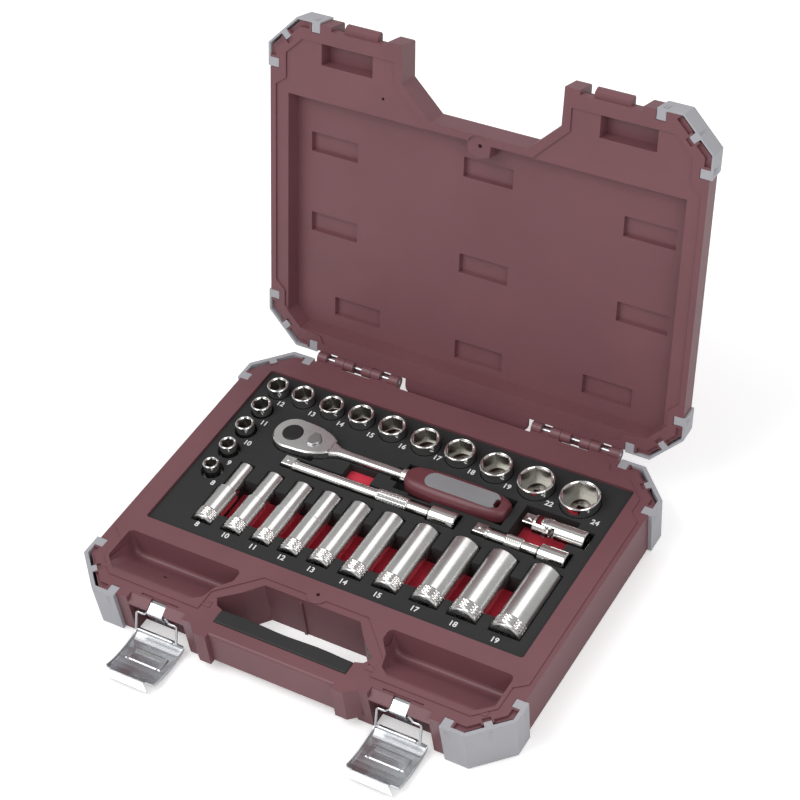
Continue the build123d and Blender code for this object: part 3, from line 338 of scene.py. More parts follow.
def settle(obj: bpy.types.Object) -> None:
    """Moves the object's place into its mesh."""
    select_only(obj)
    bpy.ops.object.transform_apply(location=True, rotation=True, scale=True)


def paint(piece: bpy.types.Object, material: bpy.types.Material) -> None:
    """Gives a piece one material all over."""
    piece.data.materials.clear()
    piece.data.materials.append(material)


def pick(piece: bpy.types.Object, kind: str, test: Callable) -> int:
    """Selects the elements of a mesh in edit mode that pass a test.

    Args:
        piece: the piece, in edit mode.
        kind: "VERT", "EDGE" or "FACE".
        test: takes the element and says whether it is selected.

    Returns:
        How many are selected.
    """
    bpy.ops.mesh.select_mode(type=kind)
    bpy.ops.mesh.select_all(action="DESELECT")
    shape = bmesh.from_edit_mesh(piece.data)
    found = 0
    for element in {"VERT": shape.verts, "EDGE": shape.edges, "FACE": shape.faces}[kind]:
        if test(element):
            element.select_set(True)
            found += 1
    bmesh.update_edit_mesh(piece.data)
    return found


def middle_of(element) -> Vector:
    """Returns the middle of an edge or a face."""
    return sum((v.co for v in element.verts), Vector()) / len(element.verts)


def edges_rounded(
    piece: bpy.types.Object, width: float, angle: float = 35.0, segments: int = 2, smooth: float = 47.0,
    wide: float = 0.004
) -> None:
    """Rounds the sharp edges of a piece, shades it by the size of its faces and keeps wide faces flat.

    Args:
        piece: the piece.
        width: size of the rounding in metres.
        angle: edges sharper than this, in degrees, are rounded.
        segments: faces across each rounding.
        smooth: faces that meet below this angle are shaded as one.
        wide: faces wider than this, in metres, are shaded flat.
    """
    select_only(piece)
    bpy.ops.object.mode_set(mode="EDIT")
    bpy.ops.mesh.select_all(action="SELECT")
    bpy.ops.mesh.vert_connect_concave()
    bpy.ops.object.mode_set(mode="OBJECT")
    bevel = piece.modifiers.new("rounding", "BEVEL")
    bevel.width = width
    bevel.segments = segments
    bevel.limit_method = "ANGLE"
    bevel.angle_limit = math.radians(angle)
    bevel.use_clamp_overlap = True
    bevel.miter_outer = "MITER_ARC"
    apply_modifiers(piece)
    bpy.ops.object.shade_smooth_by_angle(angle=math.radians(smooth))
    bpy.ops.object.mode_set(mode="EDIT")
    pick(piece, "FACE", lambda f: f.calc_area() > wide * max(e.calc_length() for e in f.edges))
    bpy.ops.mesh.faces_shade_flat()
    bpy.ops.object.mode_set(mode="OBJECT")
    weight = piece.modifiers.new("face weight", "WEIGHTED_NORMAL")
    weight.keep_sharp = True
    apply_modifiers(piece)


def welded_copy(node: str, flatten: bool = True) -> bpy.types.Object:
    """Copies a CAD node as a piece of its own with its triangles joined.

    Args:
        node: the CAD node.
        flatten: merge the triangles of each flat face.

    Returns:
        The copy, riding with the node's body and standing in for it.
    """
    source = frame["nodes"][node]
    select_only(source)
    bpy.ops.object.duplicate()
    piece = bpy.context.active_object
    piece.name = f"{node}_fine"
    piece.parent = None
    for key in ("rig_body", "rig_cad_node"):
        if key in piece:
            del piece[key]
    select_only(piece)
    bpy.ops.mesh.customdata_custom_splitnormals_clear()
    bpy.ops.object.mode_set(mode="EDIT")
    bpy.ops.mesh.select_all(action="SELECT")
    bpy.ops.mesh.remove_doubles(threshold=0.000004)
    if flatten:
        bpy.ops.mesh.dissolve_limited(angle_limit=math.radians(0.3), delimit={"NORMAL"})
    bpy.ops.object.mode_set(mode="OBJECT")
    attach(piece, source["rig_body"])
    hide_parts(node)
    return piece


def softened_copy(
    node: str, finish: bpy.types.Material, width: float, angle: float = 35.0, segments: int = 2,
    wide: float = 0.004
) -> bpy.types.Object:
    """Copies a CAD node with its sharp edges rounded, and puts it in the node's place.

    Args:
        node: the CAD node.
        finish: its material.
        width: size of the rounding in metres.
        angle: edges sharper than this, in degrees, are rounded.
        segments: faces across each rounding.
        wide: faces wider than this, in metres, are shaded flat.

    Returns:
        The new piece.
    """
    piece = welded_copy(node)
    edges_rounded(piece, width, angle, segments, wide=wide)
    paint(piece, finish)
    return piece


def carve(piece: bpy.types.Object, cutter: bpy.types.Object, operation: str = "DIFFERENCE") -> None:
    """Cuts one piece with another, which goes.

    Args:
        piece: the piece that stays.
        cutter: the piece that cuts it.
        operation: the boolean operation.
    """
    cut = piece.modifiers.new("cut", "BOOLEAN")
    cut.operation = operation
    cut.solver = "EXACT"
    cut.object = cutter
    apply_modifiers(piece)
    select_only(cutter)
    bpy.ops.object.delete()


def block(name: str, low: Sequence[float], high: Sequence[float]) -> bpy.types.Object:
    """Adds a block between two corners.

    Args:
        name: the block's name.
        low: its lowest corner, in metres.
        high: its highest corner.

    Returns:
        The block.
    """
    bpy.ops.object.select_all(action="DESELECT")
    centre = [(a + b) / 2 for a, b in zip(low, high)]
    bpy.ops.mesh.primitive_cube_add(size=1, location=centre)
    piece = bpy.context.active_object
    piece.name = name
    piece.scale = [b - a for a, b in zip(low, high)]
    settle(piece)
    return piece


def drawn_strip(name: str, line: Sequence[tuple], left: float, right: float) -> bpy.types.Object:
    """Draws a strip of sheet by pulling one edge from point to point.

    Args:
        name: the strip's name.
        line: (y, z) of each point, in metres.
        left: x of one side.
        right: x of the other.

    Returns:
        The strip, one face wide.
    """
    bpy.ops.object.select_all(action="DESELECT")
    (y0, z0), (y1, z1) = line[0], line[1]
    step = 0.0001
    bpy.ops.mesh.primitive_plane_add(size=1, location=((left + right) / 2, y0, z0))
    strip = bpy.context.active_object
    strip.name = name
    strip.scale = (right - left, 2 * step, 1)
    settle(strip)
    bpy.ops.object.mode_set(mode="EDIT")
    pick(strip, "EDGE", lambda e: all(v.co.y > y0 + step / 2 for v in e.verts))
    bpy.ops.transform.translate(value=(0, y1 - y0 - step, z1 - z0))
    pick(strip, "EDGE", lambda e: all(
        abs(v.co.z - z0) < 1e-7 and abs(v.co.y - y0 + step) < 1e-6 for v in e.verts))
    bpy.ops.transform.translate(value=(0, step, 0))
    pick(strip, "EDGE", lambda e: all(abs(v.co.y - y1) + abs(v.co.z - z1) < 1e-6 for v in e.verts))
    for (ya, za), (yb, zb) in zip(line[1:], line[2:]):
        bpy.ops.mesh.extrude_region_move(TRANSFORM_OT_translate={"value": (0, yb - ya, zb - za)})
    bpy.ops.object.mode_set(mode="OBJECT")
    return strip


def thickened(piece: bpy.types.Object, thickness: float, offset: float = 0.0) -> None:
    """Gives a sheet its thickness.

    Args:
        piece: the sheet.
        thickness: in metres.
        offset: -1 grows it behind its faces, 1 in front, 0 both ways.
    """
    solid = piece.modifiers.new("thickness", "SOLIDIFY")
    solid.thickness = thickness
    solid.offset = offset
    solid.use_even_offset = True
    apply_modifiers(piece)


def facing_out(piece: bpy.types.Object) -> None:
    """Turns all faces of a closed piece outwards."""
    select_only(piece)
    bpy.ops.object.mode_set(mode="EDIT")
    bpy.ops.mesh.select_all(action="SELECT")
    bpy.ops.mesh.normals_make_consistent(inside=False)
    bpy.ops.object.mode_set(mode="OBJECT")


@dataclass
class Case:
    """The two shells with their corner guards, hinges and small moulded forms.

    Lengths are in millimetres, measured back from the front of the case and up from the floor.
    """

    shop: FinishShop
    half_width: float = 180.0
    half_depth: float = 138.0
    corner_cut: float = 25.0
    parting: float = 38.0
    hinge_y: float = 141.3
    open_angle: float = 104.2
    guard_arm: tuple = (45.2, 43.5)
    ledge: tuple = (5.2, 2.2)
    skirt_half: float = 54.0
    scoop_line: tuple = ((20.6, 38.6), (22.6, 38.2), (24.6, 37.0), (48.0, 20.2), (51.0, 18.2), (53.6, 17.2),
                         (55.4, 17.3), (56.6, 18.4), (57.5, 20.6), (58.2, 24.0))

    def build(self) -> None:
        """Builds the fine shells, guards, skirt and tray floors."""
        self._shell("base_shell", False)
        self._shell("lid_shell", True)
        for part in ("base", "lid"):
            for row, sy in (("front", -1), ("back", 1)):
                for side, sx in (("left", -1), ("right", 1)):
                    self._guard(f"{part}_guard_{row}_{side}", sx, sy, part == "lid")
        self._skirt()
        self._scoops()
        for side in ("left", "right"):
            softened_copy(f"hinge_pin_{side}", self.shop.get(PLATED), 0.0003)
        LOG.info("case built")

    def _opened(self, piece: bpy.types.Object) -> None:
        """Turns a piece from the shut lid's place to the open lid's."""
        axis = Vector((0, self.hinge_y * MM, self.parting * MM))
        turn = Matrix.Rotation(math.radians(-self.open_angle), 4, "X")
        piece.matrix_world = Matrix.Translation(axis) @ turn @ Matrix.Translation(-axis) @ piece.matrix_world
        settle(piece)

    def _ledge_cutters(self, lid: bool) -> list:
        """Makes the blocks that sink a ledge behind each corner guard.

        Args:
            lid: for the lid rather than the base.

        Returns:
            The blocks, four for each corner.
        """
        near = 1.7 if lid else 2.7
        width, drop = self.ledge
        z0, z1 = (self.parting - 2, self.parting + drop) if lid else (self.parting - drop, self.parting + 3)
        x_edge, y_edge = self.half_width - near, self.half_depth - near
        bend = self.corner_cut + 0.4 * (near + width / 2)
        run = (self.corner_cut / 2 * 1.414, 4.6)
        x_bend, y_bend = self.half_width - bend + 1.2, self.half_depth - bend + 1.2
        x_guard = self.half_width - self.guard_arm[0] + 9.2
        y_guard = self.half_depth - self.guard_arm[1] + 9.2
        middle = self.corner_cut / 2 + (near + width / 2) * 0.7071
        cutters = []
        for sx in (-1, 1):
            for sy in (-1, 1):
                spans = [
                    ((x_guard, y_edge - width), (x_bend, y_edge)),
                    ((x_edge - width, y_guard), (x_edge, y_bend)),
                ]
                corner = (sx * (self.half_width - middle) * MM, sy * (self.half_depth - middle) * MM, 0)
                for (xa, ya), (xb, yb) in spans:
                    low = (min(sx * xa, sx * xb) * MM, min(sy * ya, sy * yb) * MM, z0 * MM)
                    high = (max(sx * xa, sx * xb) * MM, max(sy * ya, sy * yb) * MM, z1 * MM)
                    cutters.append(block("ledge", low, high))
                for end in (-1, 1):
                    a, b = sorted((end * run[1], end * run[0]))
                    low = (a * MM, -width / 2 * MM, z0 * MM)
                    cutter = block("ledge", low, (b * MM, width / 2 * MM, z1 * MM))
                    cutter.rotation_euler = (0, 0, math.radians(-45 * sx * sy))
                    cutter.location = corner
                    settle(cutter)
                    cutters.append(cutter)
        return cutters

    def _shell(self, node: str, lid: bool) -> None:
        """Builds one shell with its ledges and small holes.

        Args:
            node: the CAD node.
            lid: whether it is the lid.
        """
        piece = welded_copy(node)
        cutters = self._ledge_cutters(lid)
        if lid:
            for x, behind, radius in ((0.9, 63.7, 1.6), (-80.7, 47.3, 1.2)):
                bpy.ops.object.select_all(action="DESELECT")
                place = (x * MM, FRONT + behind * MM, (self.parting + 10) * MM)
                bpy.ops.mesh.primitive_cylinder_add(
                    vertices=20, radius=radius * MM, depth=0.03, location=place)
                cutters.append(bpy.context.active_object)
                settle(cutters[-1])
        for cutter in cutters:
            if lid:
                self._opened(cutter)
            carve(piece, cutter)
        edges_rounded(piece, 0.0007, angle=28, segments=2)
        paint(piece, self.shop.get(SHELL))

    def _guard(self, node: str, sx: int, sy: int, lid: bool) -> None:
        """Builds one corner guard with its upright grooves.

        Args:
            node: the CAD node.
            sx: its side in x.
            sy: its side in y.
            lid: whether it sits on the lid.
        """
        piece = welded_copy(node)
        z0, z1 = (self.parting + 1.8, self.parting + 25) if lid else (-2, self.parting - 3)
        middle = self.corner_cut / 2
        cutter = block("groove", (-0.8 * MM, -1.3 * MM, z0 * MM), (0.8 * MM, 1.3 * MM, z1 * MM))
        cutter.rotation_euler = (0, 0, math.radians(-45 * sx * sy))
        cutter.location = (sx * (self.half_width - middle) * MM, sy * (self.half_depth - middle) * MM, 0)
        settle(cutter)
        cutters = [cutter]
        if lid:
            for end in (4.2, 6.6):
                x = sx * (self.half_width - self.guard_arm[0] + end)
                y = sy * (self.half_depth - self.guard_arm[1] + end)
                cutters.append(block("groove", ((x - 0.4) * MM, (sy * self.half_depth - 1.2) * MM, z0 * MM),
                                     ((x + 0.4) * MM, (sy * self.half_depth + 1.2) * MM, z1 * MM)))
                cutters.append(block("groove", ((sx * self.half_width - 1.2) * MM, (y - 0.4) * MM, z0 * MM),
                                     ((sx * self.half_width + 1.2) * MM, (y + 0.4) * MM, z1 * MM)))
        for cutter in cutters:
            if lid:
                self._opened(cutter)
            carve(piece, cutter)
        edges_rounded(piece, 0.0006, angle=28, segments=2)
        paint(piece, self.shop.get(GUARD))

    def _skirt(self) -> None:
        """Builds the skirt of the lid that shuts the gap between the hinges."""
        back = self.half_depth
        low = (-self.skirt_half * MM, (back - 3.4) * MM, (self.parting + 0.4) * MM)
        high = (self.skirt_half * MM, (back + 10.5) * MM, (self.parting + 3.2) * MM)
        skirt = block("lid_skirt", low, high)
        bpy.ops.object.mode_set(mode="EDIT")
        pick(skirt, "EDGE", lambda e: (
            abs(e.verts[0].co.z - e.verts[1].co.z) > 0.001 and e.verts[0].co.y > back * MM))
        bpy.ops.mesh.bevel(offset=0.0054, segments=3, affect="EDGES")
        bpy.ops.object.mode_set(mode="OBJECT")
        self._opened(skirt)
        edges_rounded(skirt, 0.0006)
        paint(skirt, self.shop.get(SHELL))
        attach(skirt, "lid")

    def _scoops(self) -> None:
        """Builds the sloping floor of the right tray and copies it to the left one."""
        line = [(FRONT + y * MM, z * MM) for y, z in self.scoop_line]
        inner, outer, rim = 74.0, 150.5, 38.45
        scoop = drawn_strip("tray_floor_right", line, inner * MM, outer * MM)
        bpy.ops.object.mode_set(mode="EDIT")
        for sign, edge in ((1, outer), (-1, inner)):
            pick(scoop, "EDGE", lambda e: all(abs(v.co.x - edge * MM) < 1e-6 for v in e.verts))
            for dx, dz in ((3.06, 0.61), (2.6, 1.73), (1.73, 2.6), (0.61, 3.06), (1.2, 4.0)):
                shift = (sign * dx * MM, 0, dz * MM)
                bpy.ops.mesh.extrude_region_move(TRANSFORM_OT_translate={"value": shift})
        pick(scoop, "VERT", lambda v: v.co.z > rim * MM)
        bpy.ops.transform.resize(value=(1, 1, 0), center_override=(0, 0, rim * MM))
        bpy.ops.object.mode_set(mode="OBJECT")
        thickened(scoop, 0.0009, -1)
        facing_out(scoop)
        select_only(scoop)
        bpy.ops.object.duplicate()
        left = bpy.context.active_object
        left.name = "tray_floor_left"
        left.scale = (-1, 1, 1)
        settle(left)
        facing_out(left)
        bpy.ops.object.select_all(action="DESELECT")
        bpy.ops.mesh.primitive_cylinder_add(
            vertices=20, radius=0.0013, depth=0.02, location=(-0.118, FRONT + 0.039, 0.027))
        carve(left, bpy.context.active_object)
        for piece in (scoop, left):
            select_only(piece)
            bpy.ops.object.shade_smooth_by_angle(angle=math.radians(50))
            paint(piece, self.shop.get(SHELL))
            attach(piece, "case")


@dataclass
class FoamTray:
    """The black sheet, the red layer and the printed size numbers."""

    shop: FinishShop
    digit_size: float = 6.4
    head: tuple = (-102.0, 55.0)
    head_gap: float = 16.3
    sheet_levels: tuple = (22.0, 36.7)
    gap: tuple = ((-48.6, 174.4), (-23.9, 188.1), (19.0, 29.5))
    short_places: dict = field(default_factory=lambda: {
        8: (-132.9, 126.5), 9: (-133.4, 149.5), 10: (-132.3, 173.6), 11: (-132.4, 197.2),
        12: (-132.3, 220.9), 13: (-104, 221.4), 14: (-78, 221), 15: (-50.6, 220.4),
        16: (-21.9, 219.8), 17: (8.3, 220.3),
        18: (38.7, 218), 19: (70.2, 216), 22: (106.5, 213.3), 24: (145.3, 210.4)})
    deep_places: dict = field(default_factory=lambda: {
        8: (-119.8, 86), 10: (-94.3, 85.2), 11: (-69.4, 84.3), 12: (-44.7, 84.4), 13: (-18.9, 83.7),
        14: (8.7, 83.5), 15: (37.2, 83.3), 17: (67.6, 83.3), 18: (99.1, 83), 19: (132.2, 82.7)})

    def build(self) -> None:
        """Builds both layers of foam, the raised red floor and the numbers."""
        self._sheet()
        softened_copy("foam_base", self.shop.get(RED_FOAM), 0.0004, segments=2)
        (x0, y0), (x1, y1), (low, high) = self.gap
        rise = block("red_rise", (x0 * MM, FRONT + y0 * MM, low * MM), (x1 * MM, FRONT + y1 * MM, high * MM))
        edges_rounded(rise, 0.0006)
        paint(rise, self.shop.get(RED_FOAM))
        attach(rise, "case")
        for row, places in (("short", self.short_places), ("deep", self.deep_places)):
            for size, (x, behind) in places.items():
                self._number(f"number_{row}_{size:02d}", size, x * MM, FRONT + behind * MM)
        LOG.info("foam built and numbered")

    def _sheet(self) -> None:
        """Builds the black sheet and closes it round the ratchet's head."""
        sheet = welded_copy("foam_top")
        x, y = self.head
        left, right, back, front = x - 18.7, x + 22.2, y + 17.7, y - 16.7
        low, high = self.sheet_levels
        overlap, neck_length, above = 0.5, 25, 0.08
        for (xa, ya), (xb, yb) in (((left, front), (x, back)), ((x - overlap, y), (right, back))):
            collar = block("collar", (xa * MM, ya * MM, low * MM), (xb * MM, yb * MM, high * MM))
            carve(sheet, collar, "UNION")
        bpy.ops.object.select_all(action="DESELECT")
        bpy.ops.mesh.primitive_cylinder_add(
            vertices=72, radius=self.head_gap * MM, depth=0.1, location=(x * MM, y * MM, (low + 40) * MM))
        disc = bpy.context.active_object
        settle(disc)
        carve(sheet, disc)
        neck = (self.head_gap - overlap) * MM
        start = (x * MM, y * MM - neck, (low - 5) * MM)
        carve(sheet, block("neck", start, ((x + neck_length) * MM, y * MM + neck, above)))
        edges_rounded(sheet, 0.0005, segments=2)
        paint(sheet, self.shop.get(BLACK_FOAM))

    def _number(self, name: str, size: int, x: float, y: float) -> None:
        """Prints one size number on the foam.

        Args:
            name: the piece's name.
            size: the number.
            x: middle of the number.
            y: middle of the number.
        """
        bpy.ops.object.select_all(action="DESELECT")
        bpy.ops.object.text_add(location=(x, y, FOAM_TOP + 0.00012))
        text = bpy.context.active_object
        text.name = name
        text.data.body = str(size)
        text.data.size = self.digit_size * MM
        text.data.offset = 0.00014
        text.data.extrude = 0.0001
        text.data.align_x = "CENTER"
        text.data.align_y = "CENTER"
        select_only(text)
        bpy.ops.object.convert(target="MESH")
        settle(text)
        paint(text, self.shop.get(PRINT))
        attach(text, "case")


@dataclass
class ToolKit:
    """Sockets, bars, universal joint and ratchet."""

    shop: FinishShop
    deep_front: float = 90.5
    deep_axis: float = 33.2
    bar_behind: float = 169.0
    bar_axis: float = 35.2
    deep_x: dict = field(default_factory=lambda: {
        8: -119, 10: -93.2, 11: -67.7, 12: -43.3, 13: -17.6,
        14: 9.6, 15: 38.6, 17: 70.8, 18: 101.5, 19: 135.6})

    def build(self) -> None:
        """Builds every tool from its CAD form and adds the knurled bands."""
        chrome = self.shop.get(CHROME)
        satin = self.shop.get(SATIN)
        for node in list(frame["nodes"]):
            if node.startswith("socket_"):
                self._bored(softened_copy(node, chrome, 0.0002, angle=30, wide=1))
            elif node.startswith("deep_socket_"):
                softened_copy(node, satin, 0.0002, angle=30, wide=1)
        for node in ("extension_bar_long", "extension_bar_short", "joint_driver", "joint_socket",
                     "ratchet_collar"):
            softened_copy(node, chrome, 0.0003, angle=30, wide=1)
        for node, finish, width in (
            ("ratchet_body", SATIN, 0.0003),
            ("ratchet_cover", SATIN, 0.0003),
            ("reverse_lever", DARK_STEEL, 0.0003),
            ("joint_cross", DARK_STEEL, 0.0004),
            ("ratchet_gear", DARK_STEEL, 0.0004),
            ("release_button", BLACK_PLASTIC, 0.0004),
            ("ratchet_grip", GRIP_RED, 0.0004),
            ("grip_inlay", GRIP_GREY, 0.0004),
        ):
            softened_copy(node, self.shop.get(finish), width, angle=30, wide=1)
        self.shop.dress_node("ratchet_pawl", DARK_STEEL)
        self._knurls()
        LOG.info("tools built")

    def _bored(self, piece: bpy.types.Object) -> None:
        """Gives the faces inside an upright socket the rougher steel of its bore, darkened as painted shade
        inside the bore.

        Args:
            piece: the socket.
        """
        corners = [Vector(corner) for corner in piece.bound_box]
        axis = sum(corners, Vector()) / 8
        top = max(corner.z for corner in corners) - 0.0012
        # The bore faces get a darker steel colour: painted shade inside the socket.
        piece.data.materials.append(self.shop.get(BORE_SHADE))
        bpy.ops.object.mode_set(mode="EDIT")

        def inside(face) -> bool:
            """Says whether a face looks at the socket's axis or up from within."""
            out = middle_of(face) - axis
            out.z = 0
            inward = face.normal.dot(out.normalized()) < -0.2
            return middle_of(face).z < top and (inward or face.normal.z > 0.5)

        pick(piece, "FACE", inside)
        piece.active_material_index = 1
        bpy.ops.object.material_slot_assign()
        bpy.ops.object.mode_set(mode="OBJECT")

    def _band(self, around: int, rows: int) -> bpy.types.Object:
        """Models a knurled band of radius 1 and length 1 along z.

        Args:
            around: points round the band.
            rows: rows of points along it.

        Returns:
            The band.
        """
        bpy.ops.object.select_all(action="DESELECT")
        bpy.ops.mesh.primitive_cylinder_add(vertices=around, radius=1, depth=1, end_fill_type="NOTHING")
        band = bpy.context.active_object
        band.name = "knurl_band"
        bpy.ops.object.mode_set(mode="EDIT")
        pick(band, "EDGE", lambda e: abs(e.verts[0].co.z - e.verts[1].co.z) > 0.5)
        bpy.ops.mesh.subdivide(number_cuts=rows - 1)
        for row in range(1, rows, 2):
            level = row / rows - 0.5
            pick(band, "VERT", lambda v: abs(v.co.z - level) < 0.2 / rows)
            bpy.ops.transform.rotate(value=math.pi / around, orient_axis="Z", center_override=(0, 0, 0))
        bpy.ops.mesh.select_mode(type="FACE")
        bpy.ops.mesh.select_all(action="SELECT")
        bpy.ops.mesh.poke(offset=0.045)
        bpy.ops.object.mode_set(mode="OBJECT")
        solid = band.modifiers.new("wall", "SOLIDIFY")
        solid.thickness = 0.06
        solid.offset = -1
        apply_modifiers(band)
        paint(band, self.shop.get(CHROME))
        return band

    def _knurls(self) -> None:
        """Models the two kinds of band and copies them to the deep sockets and the bars."""
        short_band = self._band(34, 6)
        long_band = self._band(26, 16)
        for size, x in self.deep_x.items():
            radius = max((1.13 * size + 3.3) / 2, 8.5) + 0.05
            place = Vector((x, -138 + self.deep_front + 6.9, self.deep_axis)) * MM
            name, body = f"knurl_deep_{size:02d}", f"deep_{size:02d}"
            self._fit(short_band, name, place, (90, 0, 0), radius, 8.2, body)
        for name, middle, length in (("long", 0.2, 25.2), ("short", 101.5, 12.6)):
            place = Vector((middle, -138 + self.bar_behind, self.bar_axis)) * MM
            self._fit(long_band, f"knurl_bar_{name}", place, (0, 90, 0), 5.55, length, f"{name}_bar")
        for band in (short_band, long_band):
            select_only(band)
            bpy.ops.object.delete()

    def _fit(
        self,
        band: bpy.types.Object,
        name: str,
        place: Vector,
        turn: tuple,
        radius: float,
        length: float,
        body: str,
    ) -> None:
        """Puts a copy of a band round a tool.

        Args:
            band: the band to copy.
            name: the copy's name.
            place: its middle, in metres.
            turn: its turn round x, y and z in degrees.
            radius: in millimetres.
            length: in millimetres.
            body: the body that it rides on.
        """
        select_only(band)
        bpy.ops.object.duplicate()
        copy = bpy.context.active_object
        copy.name = name
        copy.scale = (radius * MM, radius * MM, length * MM)
        copy.rotation_euler = [math.radians(a) for a in turn]
        copy.location = place
        settle(copy)
        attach(copy, body)


@dataclass
class Latches:
    """Clips, wire bails and dished levers, and the pad on the handle."""

    shop: FinishShop
    middle_x: float = 101.0
    pivot: tuple = (-1.6, 12.3)
    roll_radius: float = 1.46
    roll_half: float = 15.0
    plate_half: float = 20.7
    sheet: float = 0.9
    plate_line: tuple = (
        (0.9, 9.6), (1.9, 7.0), (1.4, 4.9), (-1.0, 3.5), (-5.0, 2.6), (-12.0, 2.1), (-20.0, 2.3),
        (-27.0, 3.0), (-32.0, 4.0), (-36.0, 5.4), (-38.0, 8.2), (-39.0, 8.9), (-40.2, 8.6), (-44.0, 6.5))

    def build(self) -> None:
        """Builds the latches and the handle pad."""
        plated = self.shop.get(PLATED)
        master = self._lever()
        for side, sign in (("left", -1), ("right", 1)):
            softened_copy(f"latch_clip_{side}", plated, 0.0002, angle=40)
            bail = welded_copy(f"latch_bail_{side}", flatten=False)
            select_only(bail)
            bpy.ops.object.shade_smooth_by_angle(angle=math.radians(50))
            paint(bail, plated)
            select_only(master)
            bpy.ops.object.duplicate()
            lever = bpy.context.active_object
            lever.name = f"latch_plate_{side}"
            lever.location = (sign * self.middle_x * MM, 0, 0)
            settle(lever)
            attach(lever, f"lever_{side}")
            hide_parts(f"latch_lever_{side}")
        select_only(master)
        bpy.ops.object.delete()
        softened_copy("handle_grip", self.shop.get(PAD), 0.0009, angle=25, segments=3)
        LOG.info("latches and pad built")

    def _lever(self) -> bpy.types.Object:
        """Models one lever round the middle line: roll, dished plate, upturned sides and lip.

        Returns:
            The lever.
        """
        roll = []
        for turn in (225, 190, 155, 120, 85, 50, 15):
            roll.append((self.pivot[0] + self.roll_radius * math.cos(math.radians(turn)),
                         self.pivot[1] + self.roll_radius * math.sin(math.radians(turn))))
        line = [(FRONT + y * MM, z * MM) for y, z in (*roll, *self.plate_line)]
        lever = drawn_strip("latch_plate", line, -self.roll_half * MM, self.roll_half * MM)
        bpy.ops.object.mode_set(mode="EDIT")
        top = self.plate_line[1][1] * MM + 1e-5
        pick(lever, "VERT", lambda v: v.co.z < top and v.co.y < FRONT + 2.5 * MM)
        bpy.ops.transform.resize(value=(self.plate_half / self.roll_half, 1, 1), center_override=(0, 0, 0))
        side = self.plate_half * MM
        for sign in (-1, 1):
            pick(lever, "EDGE", lambda e: all(abs(v.co.x - sign * side) < 1e-5 for v in e.verts)
                 and FRONT - 36.1 * MM < min(v.co.y for v in e.verts) and middle_of(e).z < 5.5 * MM)
            bpy.ops.mesh.extrude_region_move(TRANSFORM_OT_translate={"value": (sign * 0.0001, 0, 0.0023)})
        lifted = pick(lever, "FACE", lambda f: FRONT - 29 * MM < middle_of(f).y < FRONT - 7 * MM
                      and abs(f.normal.z) > 0.8 and abs(middle_of(f).x) < 0.005)
        LOG.info("panel faces: %d", lifted)
        bpy.ops.mesh.inset(thickness=0.0052, depth=0)
        bpy.ops.mesh.inset(thickness=0.0009, depth=0)
        bpy.ops.transform.translate(value=(0, 0, 0.0008))
        bpy.ops.mesh.inset(thickness=0.0022, depth=0)
        bpy.ops.mesh.inset(thickness=0.0006, depth=0)
        bpy.ops.transform.translate(value=(0, 0, -0.0004))
        bpy.ops.object.mode_set(mode="OBJECT")
        thickened(lever, self.sheet * MM)
        facing_out(lever)
        edges_rounded(lever, 0.00025, angle=40, segments=2, smooth=40)
        paint(lever, self.shop.get(PLATED))
        return lever


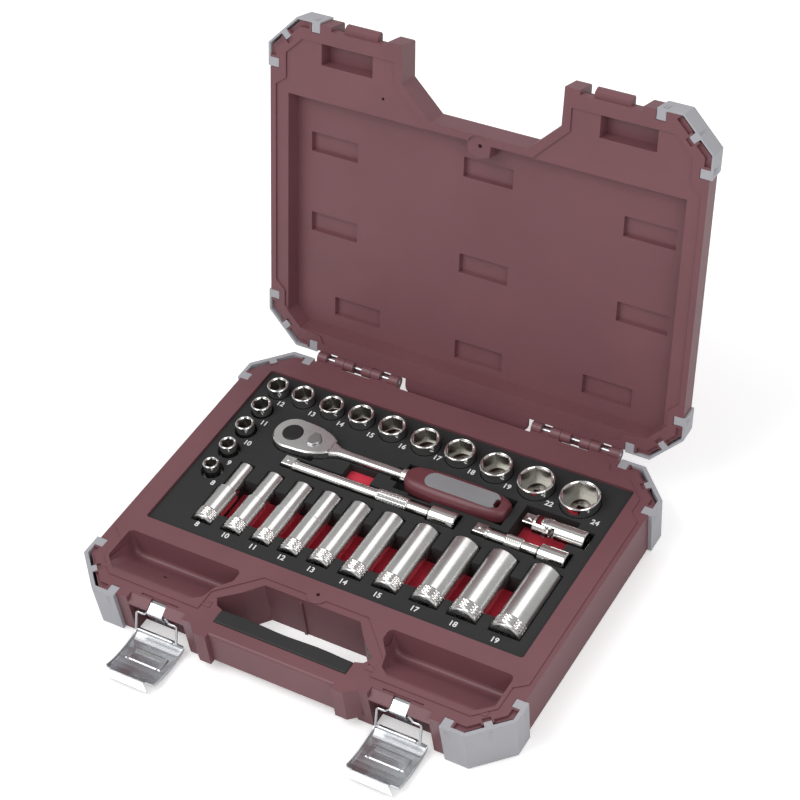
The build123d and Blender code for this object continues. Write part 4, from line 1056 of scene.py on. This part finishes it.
@dataclass
class Studio:
    """Floor, lamps, world and camera."""

    target: tuple = (-0.02482, 0.09147, 0.07579)
    azimuth: float = 35.66
    elevation: float = 43.1
    roll: float = -7.81
    distance: float = 1.6476
    lens: float = 99.4
    floor_glow: float = 0.35
    lamps: list = field(default_factory=lambda: [
        ("key", (-0.9, -1.0, 1.9), 1.6, 26.0),
        ("fill", (1.5, -0.9, 1.3), 1.4, 11.0),
        ("back", (0.2, 1.7, 1.8), 1.6, 13.0),
    ])

    def build(self) -> None:
        """Sets up the stage."""
        self._floor()
        self._world()
        for name, place, size, power in self.lamps:
            self._lamp(name, place, size, power)
        self._camera()
        bpy.context.scene.view_settings.view_transform = "Standard"

    def _floor(self) -> None:
        """Lays a pale floor that the camera sees as white."""
        bpy.ops.object.select_all(action="DESELECT")
        bpy.ops.mesh.primitive_plane_add(size=12, location=(0, 0, -0.0002))
        floor = bpy.context.active_object
        floor.name = "studio_floor"
        bench = NodeBench("floor paper")
        bench.shader.inputs["Base Color"].default_value = (0.9, 0.9, 0.9, 1)
        bench.shader.inputs["Roughness"].default_value = 0.9
        glow = bench.tree.nodes.new("ShaderNodeEmission")
        glow.inputs["Strength"].default_value = self.floor_glow
        both = bench.tree.nodes.new("ShaderNodeAddShader")
        lit = bench.tree.nodes.new("ShaderNodeMixShader")
        path = bench.tree.nodes.new("ShaderNodeLightPath")
        bench.link(bench.shader.outputs["BSDF"], both.inputs[0])
        bench.link(glow.outputs["Emission"], both.inputs[1])
        bench.link(path.outputs["Is Camera Ray"], lit.inputs["Fac"])
        bench.link(bench.shader.outputs["BSDF"], lit.inputs[1])
        bench.link(both.outputs["Shader"], lit.inputs[2])
        bench.link(lit.outputs["Shader"], bench.output.inputs["Surface"])
        floor.data.materials.append(bench.material)

    def _world(self) -> None:
        """Makes the world white to the camera and soft on the object."""
        world = bpy.data.worlds.new("studio")
        bpy.context.scene.world = world
        world.use_nodes = True
        tree = world.node_tree
        tree.nodes.clear()
        output = tree.nodes.new("ShaderNodeOutputWorld")
        soft = tree.nodes.new("ShaderNodeBackground")
        soft.inputs["Color"].default_value = (1, 1, 1, 1)
        soft.inputs["Strength"].default_value = 0.45
        white = tree.nodes.new("ShaderNodeBackground")
        white.inputs["Strength"].default_value = 1.0
        mix = tree.nodes.new("ShaderNodeMixShader")
        path = tree.nodes.new("ShaderNodeLightPath")
        tree.links.new(path.outputs["Is Camera Ray"], mix.inputs["Fac"])
        tree.links.new(soft.outputs["Background"], mix.inputs[1])
        tree.links.new(white.outputs["Background"], mix.inputs[2])
        tree.links.new(mix.outputs["Shader"], output.inputs["Surface"])

    def _lamp(self, name: str, place: tuple, size: float, power: float) -> None:
        """Hangs one square soft lamp that points at the case.

        Args:
            name: the lamp's name.
            place: where it hangs.
            size: its edge length.
            power: its watts.
        """
        data = bpy.data.lights.new(name, "AREA")
        data.shape = "SQUARE"
        data.size = size
        data.energy = power
        lamp = bpy.data.objects.new(name, data)
        bpy.context.scene.collection.objects.link(lamp)
        lamp.location = place
        aim = Vector((0, 0, 0.05)) - Vector(place)
        lamp.rotation_euler = aim.to_track_quat("-Z", "Y").to_euler()

    def _camera(self) -> None:
        """Places the camera."""
        az = math.radians(self.azimuth)
        el = math.radians(self.elevation)
        roll = math.radians(self.roll)
        back = Vector((math.sin(az) * math.cos(el), -math.cos(az) * math.cos(el), math.sin(el)))
        right = (-back).cross(Vector((0, 0, 1))).normalized()
        up = right.cross(-back)
        right_rolled = right * math.cos(roll) + up * math.sin(roll)
        up_rolled = up * math.cos(roll) - right * math.sin(roll)
        turn = Matrix((right_rolled, up_rolled, back)).transposed().to_4x4()
        data = bpy.data.cameras.new("view")
        data.lens = self.lens
        data.sensor_width = 36
        data.clip_end = 30
        camera = bpy.data.objects.new("view", data)
        bpy.context.scene.collection.objects.link(camera)
        camera.matrix_world = Matrix.Translation(Vector(self.target) + back * self.distance) @ turn
        bpy.context.scene.camera = camera


def main() -> None:
    """Builds and dresses the whole set."""
    logging.basicConfig(level=logging.INFO, format="%(name)s: %(message)s")
    shop = FinishShop()
    Case(shop).build()
    FoamTray(shop).build()
    ToolKit(shop).build()
    Latches(shop).build()
    Studio().build()


if __name__ == "__main__":
    main()
